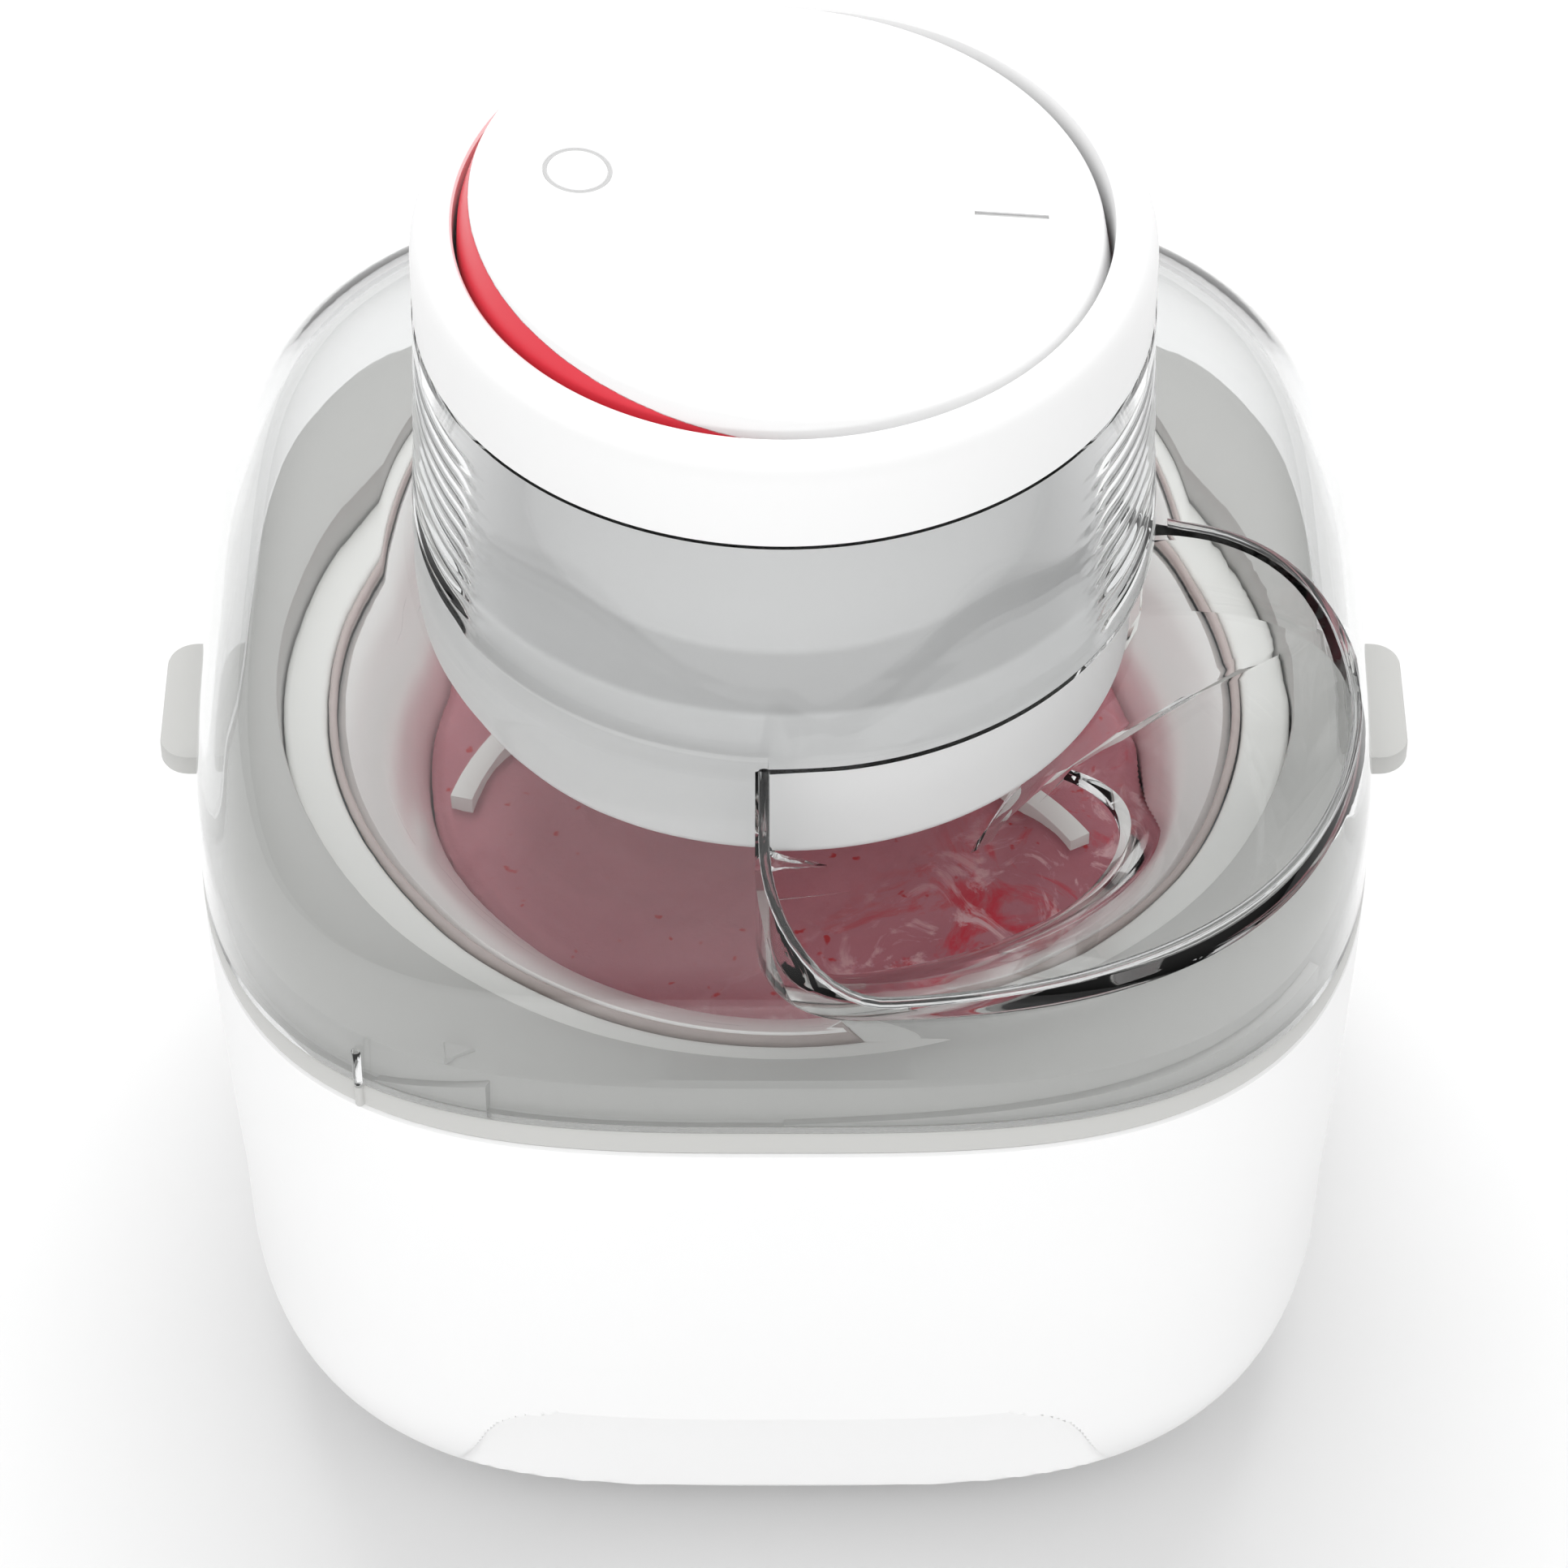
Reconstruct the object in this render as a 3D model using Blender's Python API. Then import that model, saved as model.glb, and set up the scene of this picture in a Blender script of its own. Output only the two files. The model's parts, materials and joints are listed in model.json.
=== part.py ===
"""Ice cream maker: a white base holding a double-walled freezer bowl, a clear lid with an ingredient
chute, and a motor head in the lid's neck that turns a paddle through three pairs of gears.

Metres, +Z up, front at -Y. The origin is on the surface it stands on, at the centre."""

from math import acos, atan2, cos, pi, radians, sin, sqrt, tan, tau

import bmesh
import bpy
from mathutils import Vector

MM = 0.001
GAP = 0.3 * MM                 # left between pieces that touch
STEPS = 36                     # sides of a large round piece
FINE_STEPS = 16                # sides of a small round piece

# Plan of the base, collar and lid: a rounded square
RIM_HALF_X = 112.5 * MM
RIM_HALF_Y = 113.0 * MM
SQUARENESS = 3.2               # power of the superellipse; 2 is a circle
WALL = 3.0 * MM

# Base
FOOT_HEIGHT = 2.0 * MM
FOOT_RADIUS = 9.0 * MM
FOOT_REACH = 52.0 * MM         # from the centre, along X and along Y
BASE_TOP = 128.0 * MM
BASE_KNEE = 38.0 * MM          # height where the side starts to round under
BASE_KNEE_INSET = 3.5 * MM     # how much narrower the side is at the knee
BASE_UNDERCUT = 34.0 * MM      # how far the bottom is rounded in
RECESS_WALL_Y = -94.0 * MM     # front face of the recess at the foot of the base
RECESS_TOP = 45.0 * MM
RECESS_HALF_TOP = 47.0 * MM
RECESS_HALF_BOTTOM = 72.0 * MM
SCREW_REACH = 34.0 * MM
SCREW_RADIUS = 2.0 * MM

# Freezer bowl and its collar
COLLAR_FLANGE_TOP = 134.0 * MM
COLLAR_TOP = 142.5 * MM
COLLAR_HOLE = 99.3 * MM
COLLAR_RIDGE_INSET = 4.3 * MM  # the ridge inside the lid, from the collar's edge
EAR_REACH = 121.0 * MM
EAR_HALF_WIDTH = 16.0 * MM
BOWL_MOUTH = 87.0 * MM
BOWL_INNER = 70.0 * MM
BOWL_INNER_FLOOR = 24.0 * MM
BOWL_BOTTOM = 9.0 * MM
BOWL_RIM = 134.0 * MM
BOWL_SKIN = 2.0 * MM

# Lid
LID_WALL = 2.5 * MM
NECK_BOTTOM = 187.0 * MM
NECK_TOP = 238.0 * MM
NECK_INNER = 66.9 * MM
CHUTE_LEFT = -3.0 * MM         # the chute takes the quarter right of this and in front of the next
CHUTE_BACK = -8.0 * MM
CHUTE_INSET = 4.0 * MM         # from the rim's plan to the chute's outer edge
CHUTE_MOUTH = 81.0 * MM        # radius of the funnel's lower edge
CHUTE_FLOOR_TOP = 164.0 * MM
CHUTE_FLOOR_LOW = 143.0 * MM

# Motor head
DRUM_RADIUS = 66.3 * MM
DRUM_BOTTOM = 157.6 * MM
DRUM_TOP = 196.0 * MM
COLUMN_RADIUS = 50.0 * MM
DECK_BOTTOM = 239.0 * MM
DECK_TOP = 241.0 * MM
CAP_RADIUS = 68.0 * MM
CAP_TOP = 256.5 * MM
CAP_HOLE = 60.0 * MM
PLATE_BOTTOM = 188.0 * MM
PLATE_TOP = 190.0 * MM
MOTOR_RADIUS = 24.0 * MM
MOTOR_TOP = 231.0 * MM

# Power rocker
ROCKER_PIVOT_Z = 250.0 * MM
ROCKER_TILT = radians(4.5)     # pressed on: its right side is down
ROCKER_RADIUS = 58.3 * MM
ROCKER_FACE = 9.5 * MM         # top face above the pivot
BAND_FOOT = 59.3 * MM          # radius of the red band's foot, below the face
ROCKER_UNDERSIDE = 6.7 * MM
PIVOT_POST_Y = 38.0 * MM
PIVOT_LUG_Y = 45.0 * MM
PIN_RADIUS = 2.0 * MM
PLUNGER_X = 22.0 * MM

# Gear train: motor pinion, two stepped gears, output gear
PRESSURE_ANGLE = radians(20)
FINE_MODULE = 1.0 * MM
COARSE_MODULE = 1.25 * MM
PINION_TEETH = 12
WHEEL_TEETH = 42
LAST_PINION_TEETH = 14
OUTPUT_TEETH = 44
BACKLASH = 0.3 * MM
GEAR_A_ANGLE = radians(100)    # where the first stepped gear stands round the output axis
OUTPUT_SHAFT_RADIUS = 4.0 * MM
OUTPUT_SHAFT_TOP = 178.0 * MM
MOTOR_SHAFT_RADIUS = 2.5 * MM

# Paddle
HUB_RADIUS = 12.0 * MM
HUB_TOP = 148.0 * MM
BLADE_TOP = 119.0 * MM
BLADE_BOTTOM = 30.0 * MM
BLADE_THICKNESS = 4.4 * MM
BLADE_STEPS = 6
BLADES = ((172, 53, 192, 64.5), (-4, 36, -22, 62))  # angle and radius in mm, at the arm and at the tip

COLOURS = {                    # base colour, roughness, metallic
    "white_plastic": ((0.92, 0.92, 0.91), 0.25, 0.0),
    "grey_plastic": ((0.60, 0.60, 0.58), 0.35, 0.0),
    "pale_plastic": ((0.80, 0.81, 0.76), 0.35, 0.0),
    "clear_plastic": ((0.90, 0.92, 0.92), 0.05, 0.0),
    "red_plastic": ((0.75, 0.05, 0.08), 0.30, 0.0),
    "rubber": ((0.05, 0.05, 0.05), 0.80, 0.0),
    "seal": ((0.22, 0.10, 0.10), 0.70, 0.0),
    "aluminium": ((0.80, 0.79, 0.76), 0.30, 1.0),
    "steel": ((0.56, 0.57, 0.58), 0.35, 1.0),
    "brass": ((0.78, 0.57, 0.28), 0.35, 1.0),
    "acetal": ((0.85, 0.84, 0.78), 0.40, 0.0),
    "copper": ((0.72, 0.35, 0.20), 0.45, 1.0),
    "black_plastic": ((0.04, 0.04, 0.04), 0.45, 0.0),
    "gel": ((0.35, 0.55, 0.70), 0.50, 0.0),
}


def clear_scene():
    for old in list(bpy.data.objects):
        bpy.data.objects.remove(old, do_unlink=True)


def material(name):
    found = bpy.data.materials.get(name)
    if found:
        return found
    colour, roughness, metallic = COLOURS[name]
    made = bpy.data.materials.new(name)
    made.use_nodes = True
    shader = made.node_tree.nodes["Principled BSDF"]
    shader.inputs["Base Color"].default_value = (*colour, 1)
    shader.inputs["Roughness"].default_value = roughness
    shader.inputs["Metallic"].default_value = metallic
    if name == "clear_plastic":
        shader.inputs["Alpha"].default_value = 0.35
    return made


# ---- Mesh helpers

def placed(name, bm, finish=None, at=(0, 0, 0), parent=None):
    """Makes an object from bm. With no finish it is a hidden cutter."""
    bmesh.ops.remove_doubles(bm, verts=bm.verts, dist=0.001 * MM)
    bmesh.ops.recalc_face_normals(bm, faces=bm.faces)
    mesh = bpy.data.meshes.new(name)
    bm.to_mesh(mesh)
    bm.free()
    made = bpy.data.objects.new(name, mesh)
    bpy.context.scene.collection.objects.link(made)
    made.location = at
    made.parent = parent
    if finish:
        mesh.materials.append(material(finish))
        mesh.shade_smooth()
        mesh.set_sharp_from_angle(angle=radians(35))
    else:
        made.hide_render = True
        made.display_type = "WIRE"
    return made


def in_mm(points):
    """Scales points given in millimetres to metres."""
    return [tuple(value * MM for value in point) for point in points]


def turned(profile, steps=STEPS):
    """A solid of revolution about Z. A profile that starts and ends on the axis is left open there."""
    bm = bmesh.new()
    verts = [bm.verts.new((r, 0, z)) for r, z in profile]
    pairs = list(zip(verts, verts[1:]))
    if profile[0][0] > 0:
        pairs.append((verts[-1], verts[0]))
    edges = [bm.edges.new(pair) for pair in pairs]
    bmesh.ops.spin(bm, geom=verts + edges, cent=(0, 0, 0), axis=(0, 0, 1), angle=tau, steps=steps,
                   use_merge=True)
    return bm


def lofted(rings, closed=False):
    """Skins rings of equal point count. A closed loft joins its last ring to its first, and an open one
    is capped."""
    bm = bmesh.new()
    rows = [[bm.verts.new(point) for point in ring] for ring in rings]
    pairs = list(zip(rows, rows[1:]))
    if closed:
        pairs.append((rows[-1], rows[0]))
    else:
        bm.faces.new(rows[0])
        bm.faces.new(rows[-1])
    count = len(rows[0])
    for low, high in pairs:
        for i in range(count):
            j = (i + 1) % count
            bm.faces.new((low[i], low[j], high[j], high[i]))
    return bm


def prism(outline, low, high):
    """An outline of (x, y) points, extruded from height low to height high."""
    return lofted([[(x, y, low) for x, y in outline], [(x, y, high) for x, y in outline]])


def block(low, high):
    (x0, y0, z0), (x1, y1, z1) = low, high
    return prism([(x0, y0), (x1, y0), (x1, y1), (x0, y1)], z0, z1)


def rod(radius, low, high, steps=FINE_STEPS):
    return turned([(0, low), (radius, low), (radius, high), (0, high)], steps)


def tube(inner, outer, low, high, steps=FINE_STEPS):
    return turned([(inner, low), (outer, low), (outer, high), (inner, high)], steps)


def combine(target, tool, operation):
    cut = target.modifiers.new(f"{operation.lower()}_{tool.name}", "BOOLEAN")
    cut.operation = operation
    cut.object = tool
    cut.solver = "EXACT"


def rounded_square(half_x, half_y, z, power, count=STEPS):
    """A superellipse ring with its points at even angles."""
    ring = []
    for i in range(count):
        angle = tau * i / count
        c, s = cos(angle), sin(angle)
        r = (abs(c / half_x) ** power + abs(s / half_y) ** power) ** (-1 / power)
        ring.append((r * c, r * s, z))
    return ring


def inset_ring(inset, z, power=SQUARENESS, half_x=RIM_HALF_X, half_y=RIM_HALF_Y):
    return rounded_square(half_x - inset, half_y - inset, z, power)


# ---- Base

def base_rings(offset):
    """Rings of the base's side and rounded bottom, shrunk by offset, from the top down."""
    rings = []
    for share in (0, 0.35, 0.7, 1):
        z = BASE_TOP + (BASE_KNEE - BASE_TOP) * share
        rings.append(inset_ring(offset + BASE_KNEE_INSET * share ** 1.5, z))
    depth = BASE_KNEE - FOOT_HEIGHT - offset
    for angle in (radians(a) for a in (22, 42, 60, 76, 90)):
        inset = BASE_KNEE_INSET + offset + (BASE_UNDERCUT - offset) * (1 - cos(angle))
        rings.append(inset_ring(inset, BASE_KNEE - depth * sin(angle)))
    return rings


def recess_outline(grow):
    """Front view of the arched recess as (x, z): flat top, S-shaped shoulders, open below."""
    top = RECESS_TOP + grow
    sides = []
    for i in range(7):
        share = i / 6
        x = RECESS_HALF_BOTTOM + (RECESS_HALF_TOP - RECESS_HALF_BOTTOM) * share + grow
        z = FOOT_HEIGHT + (top - FOOT_HEIGHT) * (1 - cos(pi * share)) / 2
        sides.append((x, z))
    below = (RECESS_HALF_BOTTOM + grow, -WALL)
    right = [below] + sides
    return right + [(-x, z) for x, z in reversed(right)]


def recess_cutter(name, grow):
    outline = recess_outline(grow)
    back = RECESS_WALL_Y + grow
    front = -RIM_HALF_Y - WALL
    return placed(name, lofted([[(x, y, z) for x, z in outline] for y in (front, back)]))


def make_base(root):
    shell = placed("base_shell", lofted(base_rings(0)), "white_plastic", parent=root)
    hollow_rings = base_rings(WALL)
    hollow_rings[0] = [(x, y, BASE_TOP + WALL) for x, y, z in hollow_rings[0]]
    hollow = placed("base_hollow_cutter", lofted(hollow_rings))
    combine(hollow, recess_cutter("recess_wall_cutter", WALL), "DIFFERENCE")
    combine(shell, recess_cutter("recess_cutter", 0), "DIFFERENCE")
    combine(shell, hollow, "DIFFERENCE")
    floor_low = FOOT_HEIGHT + WALL + GAP
    floor_high = floor_low + WALL
    floor = placed("base_weight_plate", rod(62 * MM, floor_low, floor_high, 32), "steel", parent=root)
    for i, (sx, sy) in enumerate(((-1, -1), (1, -1), (1, 1), (-1, 1))):
        spot = Vector((sx * FOOT_REACH, sy * FOOT_REACH, 0))
        pad_top = FOOT_HEIGHT - GAP
        profile = [(0, 0), (FOOT_RADIUS - 1 * MM, 0), (FOOT_RADIUS, 0.8 * MM), (FOOT_RADIUS, pad_top),
                   (0, pad_top)]
        side = "left" if sx < 0 else "right"
        end = "front" if sy < 0 else "rear"
        placed(f"foot_{end}_{side}", turned(profile, FINE_STEPS), "rubber", at=spot, parent=root)
        add_base_screw(i, floor, shell, root)


def add_base_screw(index, floor, shell, root):
    """A pan-head screw that comes up through the base's bottom and holds the weight plate."""
    angle = radians(45 + 90 * index)
    spot = (SCREW_REACH * cos(angle), SCREW_REACH * sin(angle), 0)
    head_low, head_high = 0.4 * MM, FOOT_HEIGHT - GAP
    tip = FOOT_HEIGHT + 2 * WALL
    profile = [(0, head_low), (1.7 * SCREW_RADIUS, head_low), (2 * SCREW_RADIUS, head_low + 0.5 * MM),
               (2 * SCREW_RADIUS, head_high), (SCREW_RADIUS, head_high), (SCREW_RADIUS, tip), (0, tip)]
    placed(f"plate_screw_{index + 1}", turned(profile, 12), "steel", at=spot, parent=root)
    bore = placed(f"plate_screw_bore_{index + 1}", rod(SCREW_RADIUS + GAP, -WALL, tip + WALL, 12), at=spot)
    combine(floor, bore, "DIFFERENCE")
    combine(shell, bore, "DIFFERENCE")


# ---- Freezer bowl

def bowl_inner_profile():
    """Inside face of the metal liner from the centre of its floor out to its flared lip, as (r, z)."""
    floor = BOWL_INNER_FLOOR
    corner = 9 * MM
    points = [(0, floor)]
    for a in (0, 30, 60, 90):
        turn = radians(a)
        centre = BOWL_INNER - 1 * MM - corner
        points.append((centre + corner * sin(turn), floor + corner - corner * cos(turn)))
    flare = in_mm([(71.5, 118), (75, 124.5), (80, 129.5)])
    return points + [(BOWL_INNER, 110 * MM)] + flare + [(BOWL_MOUTH - 1.2 * MM, 133 * MM)]


def make_bowl(bowl):
    inner = bowl_inner_profile()
    under = [(r + BOWL_SKIN * 0.8, z - BOWL_SKIN * 0.7) for r, z in inner[1:]]
    outer = [(0, BOWL_INNER_FLOOR - BOWL_SKIN)] + under
    liner = inner + list(reversed(outer))
    placed("bowl_liner", turned(liner), "aluminium", parent=bowl)

    shell = [(0, BOWL_BOTTOM), (74 * MM, BOWL_BOTTOM)]
    shell += in_mm([(81, 12), (84, 19), (86.5, 52), (94.5, 122), (98.6, 127)])
    shell += [(98.9 * MM, BOWL_RIM), (89.5 * MM, BOWL_RIM)]
    shell += in_mm([(89.5, 129), (91.5, 120), (84, 54), (81.5, 21), (79, 15), (73, 11.5), (0, 11.5)])
    outer_shell = placed("bowl_outer_shell", turned(shell), "pale_plastic", parent=bowl)
    plug_at = (45 * MM, 0, 0)
    plug_hole = placed("fill_plug_cutter", rod(6 * MM, 0, 20 * MM), at=plug_at)
    combine(outer_shell, plug_hole, "DIFFERENCE")
    plug = rod(5.6 * MM, BOWL_BOTTOM + 0.4 * MM, 11.8 * MM)
    placed("coolant_fill_plug", plug, "rubber", at=plug_at, parent=bowl)

    gel = in_mm([(0, 12.2), (72.5, 12.2), (78, 16), (80.8, 22), (83.2, 54), (88.5, 104), (73, 104),
                 (72.4, 33), (68, 22), (60, 20.8), (0, 20.8)])
    placed("coolant_gel", turned(gel, 32), "gel", parent=bowl)

    seal = in_mm([(87.6, 132), (89, 132), (89.1, 134.3), (88.3, 134.8), (87.5, 134.3)])
    placed("bowl_rim_seal", turned(seal), "seal", parent=bowl)
    make_collar(bowl)


def make_collar(bowl):
    """Grey collar: a rounded-square ring with a round hole, a flange on the base's rim and two ears."""
    low = BASE_TOP + GAP
    ridge = COLLAR_RIDGE_INSET
    hole_low = rounded_square(COLLAR_HOLE, COLLAR_HOLE, low, 2)
    hole_high = rounded_square(COLLAR_HOLE, COLLAR_HOLE, COLLAR_TOP - 2.5 * MM, 2)
    lip = rounded_square(COLLAR_HOLE + 0.8 * MM, COLLAR_HOLE + 0.8 * MM, COLLAR_TOP - 1.6 * MM, 2)
    rings = [hole_low, inset_ring(0.4 * MM, low), inset_ring(0, low + 0.6 * MM),
             inset_ring(0, COLLAR_FLANGE_TOP), inset_ring(ridge, COLLAR_FLANGE_TOP),
             inset_ring(ridge + 0.4 * MM, COLLAR_TOP - 1.5 * MM),
             inset_ring(ridge + 2.2 * MM, COLLAR_TOP), lip, hole_high]
    collar = placed("bowl_collar", lofted(rings, closed=True), "grey_plastic", parent=bowl)
    for sign, side in ((-1, "left"), (1, "right")):
        corner = 5.0 * MM
        inner, tip = RIM_HALF_X - 8 * MM, EAR_REACH
        outline = [(inner, -EAR_HALF_WIDTH)]
        for start, cy in ((-90, -1), (0, 1)):
            for a in (0, 30, 60, 90):
                turn = radians(start + a)
                outline.append((tip - corner + corner * cos(turn),
                                cy * (EAR_HALF_WIDTH - corner) + corner * sin(turn)))
        outline.append((inner, EAR_HALF_WIDTH))
        flat = [(sign * x, y) for x, y in outline]
        ear = placed(f"ear_{side}_body", prism(flat, low + 0.5 * MM, COLLAR_FLANGE_TOP - 0.4 * MM))
        combine(collar, ear, "UNION")


# ---- Lid

def lid_outer_rings(trim=0):
    """Rings of the lid's outer face, moved in and down by trim: side, shoulder, then the round neck."""
    steps = ((0, 134.3, 3.2), (0.3, 148, 3.2), (2, 160, 3.2), (5.5, 169, 3.1), (11, 176, 3.0),
             (19, 181.2, 2.8), (29, 184.8, 2.5), (37, 186.4, 2.25))
    rings = [inset_ring(inset * MM + trim, z * MM - trim, power) for inset, z, power in steps]
    for radius, z in ((70.4 * MM, 188.2 * MM), (69.9 * MM, 195 * MM), (68.2 * MM, NECK_TOP - GAP)):
        rings.append(rounded_square(radius - trim, radius - trim, z - trim, 2))
    return rings


def lid_inner_rings():
    steps = ((LID_WALL / MM, 134.3, 3.2), (2.9, 147, 3.2), (4.7, 158, 3.2), (8, 166.6, 3.1),
             (13.2, 173.5, 3.0), (20.6, 178.5, 2.8), (30, 182, 2.5), (38, 183.6, 2.25))
    rings = [inset_ring(inset * MM, z * MM, power) for inset, z, power in steps]
    for z in (184.3 * MM, NECK_TOP - GAP):
        rings.append(rounded_square(NECK_INNER, NECK_INNER, z, 2))
    return rings


def quarter_outline(inset, left, back, inner_radius, power=3.0):
    """Plan of the chute: the quarter right of left and in front of back, between a radius and the rim."""
    half_x, half_y = RIM_HALF_X - inset, RIM_HALF_Y - inset
    first = atan2(-sqrt(inner_radius ** 2 - left ** 2), left)
    last = atan2(back, sqrt(inner_radius ** 2 - back ** 2))
    outline = []
    for i in range(9):
        angle = last + (first - last) * i / 8
        outline.append((inner_radius * cos(angle), inner_radius * sin(angle)))
    edge_y = half_y * (1 - abs(left / half_x) ** power) ** (1 / power)
    edge_x = half_x * (1 - abs(back / half_y) ** power) ** (1 / power)
    first, last = atan2(-edge_y, left), atan2(back, edge_x)
    for i in range(15):
        angle = first + (last - first) * i / 14
        c, s = cos(angle), sin(angle)
        r = (abs(c / half_x) ** power + abs(s / half_y) ** power) ** (-1 / power)
        outline.append((r * c, r * s))
    return outline


def mouth_outline(outline, limit):
    """The same outline with every point pulled in to the mouth's radius."""
    pulled = []
    for x, y in outline:
        r = sqrt(x * x + y * y)
        scale = min(1, limit / r)
        pulled.append((x * scale, y * scale))
    return pulled


def at_height(outline, z):
    return [(x, y, z) for x, y in outline]


def make_lid(lid):
    dome = placed("lid", lofted(lid_outer_rings() + list(reversed(lid_inner_rings())), closed=True),
                  "clear_plastic", parent=lid)
    neck_edge = 70.0 * MM
    void = quarter_outline(CHUTE_INSET, CHUTE_LEFT, CHUTE_BACK, neck_edge)
    thin = 2.2 * MM
    wall = quarter_outline(CHUTE_INSET - thin, CHUTE_LEFT - thin, CHUTE_BACK + thin, neck_edge - 2 * MM)
    hollow = quarter_outline(CHUTE_INSET, CHUTE_LEFT, CHUTE_BACK, neck_edge - 8 * MM)
    funnel = placed("chute_body", lofted([
        at_height(mouth_outline(wall, CHUTE_MOUTH + thin), CHUTE_FLOOR_LOW - thin),
        at_height(wall, CHUTE_FLOOR_TOP - 2 * thin), at_height(wall, NECK_BOTTOM - 0.5 * MM)]))
    inside = placed("chute_hollow_cutter", lofted([
        at_height(mouth_outline(hollow, CHUTE_MOUTH), CHUTE_FLOOR_LOW - 2 * thin),
        at_height(mouth_outline(hollow, CHUTE_MOUTH), CHUTE_FLOOR_LOW),
        at_height(hollow, CHUTE_FLOOR_TOP), at_height(hollow, NECK_TOP)]))
    dome_limit = placed("dome_limit", lofted(lid_outer_rings(0.4 * MM)))
    combine(funnel, dome_limit, "INTERSECT")
    combine(funnel, inside, "DIFFERENCE")
    opening = placed("chute_opening_cutter", lofted([at_height(void, CHUTE_FLOOR_TOP - 24 * MM),
                                                     at_height(void, NECK_TOP - 20 * MM)]))
    combine(dome, opening, "DIFFERENCE")
    combine(dome, funnel, "UNION")


# ---- Motor head

def make_head(head):
    cap = [(CAP_RADIUS, NECK_TOP + GAP), (CAP_RADIUS, 250 * MM)]
    cap += in_mm([(67.4, 253.8), (66, 255.7)]) + [(64.3 * MM, CAP_TOP), (60.6 * MM, CAP_TOP)]
    cap += [(CAP_HOLE, 256 * MM), (CAP_HOLE, 244 * MM)]
    cap += in_mm([(61.5, 244), (61.5, 252), (65.4, 252)]) + [(65.4 * MM, NECK_TOP + GAP)]
    placed("head_cap", turned(cap), "white_plastic", parent=head)

    bore, skin = 6.5 * MM, 2 * MM
    column_top = DECK_BOTTOM - GAP
    housing = [(bore, DRUM_BOTTOM), (DRUM_RADIUS - 3 * MM, DRUM_BOTTOM), (DRUM_RADIUS - 0.8 * MM, 158.6 * MM),
               (DRUM_RADIUS, 161 * MM), (DRUM_RADIUS, DRUM_TOP - 1 * MM), (DRUM_RADIUS - 1 * MM, DRUM_TOP),
               (COLUMN_RADIUS, DRUM_TOP), (COLUMN_RADIUS, column_top), (COLUMN_RADIUS - skin, column_top),
               (COLUMN_RADIUS - skin, DRUM_TOP - skin), (DRUM_RADIUS - skin, DRUM_TOP - skin),
               (DRUM_RADIUS - skin, DRUM_BOTTOM + skin), (bore, DRUM_BOTTOM + skin)]
    placed("motor_housing", turned(housing), "white_plastic", parent=head)
    make_deck(head)
    make_gearbox_plate(head)
    make_motor(head)
    gland_profile = in_mm([(0, 0), (6, 0), (6, 1.5), (4.2, 3.5), (3.6, 7), (0, 7)])
    gland = placed("cord_inlet_bush", turned(gland_profile, FINE_STEPS), "black_plastic",
                   at=(0, CAP_RADIUS + GAP, 246 * MM), parent=head)
    gland.rotation_euler = (-pi / 2, 0, 0)


def pivot_bore(name, z):
    bore = placed(name, rod(PIN_RADIUS + GAP, -CAP_HOLE, CAP_HOLE, 16), at=(0, 0, z))
    bore.rotation_euler = (pi / 2, 0, 0)
    return bore


def make_deck(head):
    """Deck that closes the housing, with two posts for the rocker's pin, and the switch on it."""
    deck = placed("switch_deck", rod(65 * MM, DECK_BOTTOM, DECK_TOP, STEPS), "white_plastic", parent=head)
    for sign, end in ((-1, "front"), (1, "rear")):
        y = sign * PIVOT_POST_Y
        post = placed(f"pivot_post_{end}_body", block((-4 * MM, y - 2 * MM, DECK_TOP - 1 * MM),
                                                      (4 * MM, y + 2 * MM, ROCKER_PIVOT_Z + 4 * MM)))
        combine(deck, post, "UNION")
    combine(deck, pivot_bore("deck_pivot_cutter", ROCKER_PIVOT_Z), "DIFFERENCE")
    body = placed("switch_body", block((PLUNGER_X - 10 * MM, -7 * MM, DECK_TOP + GAP),
                                       (PLUNGER_X + 10 * MM, 7 * MM, 249 * MM)), "black_plastic", parent=head)
    well = placed("plunger_well_cutter", rod(2.5 * MM, DECK_TOP + 1.5 * MM, 252 * MM), at=(PLUNGER_X, 0, 0))
    combine(body, well, "DIFFERENCE")


def make_gearbox_plate(head):
    plate = placed("gearbox_plate", tube(7 * MM, 62 * MM, PLATE_BOTTOM, PLATE_TOP, 36), "steel", parent=head)
    for index in range(3):
        angle = radians(-60 + 120 * index)
        spot = (56 * MM * cos(angle), 56 * MM * sin(angle), 0)
        hole = rod(2.1 * MM, PLATE_BOTTOM - WALL, PLATE_TOP + WALL, 12)
        bore = placed(f"gearbox_screw_bore_{index + 1}", hole, at=spot)
        combine(plate, bore, "DIFFERENCE")
        head_low = PLATE_TOP + GAP
        tip = PLATE_BOTTOM - 8 * MM
        screw = [(0, tip), (1.5 * MM, tip), (1.5 * MM, head_low), (3 * MM, head_low),
                 (2.6 * MM, head_low + 1.5 * MM), (0, head_low + 1.7 * MM)]
        placed(f"gearbox_screw_{index + 1}", turned(screw, 12), "steel", at=spot, parent=head)
        post = tube(1.8 * MM, 4.5 * MM, DRUM_BOTTOM + 2 * MM + GAP, PLATE_BOTTOM - GAP, 16)
        placed(f"gearbox_post_{index + 1}", post, "white_plastic", at=spot, parent=head)


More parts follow.
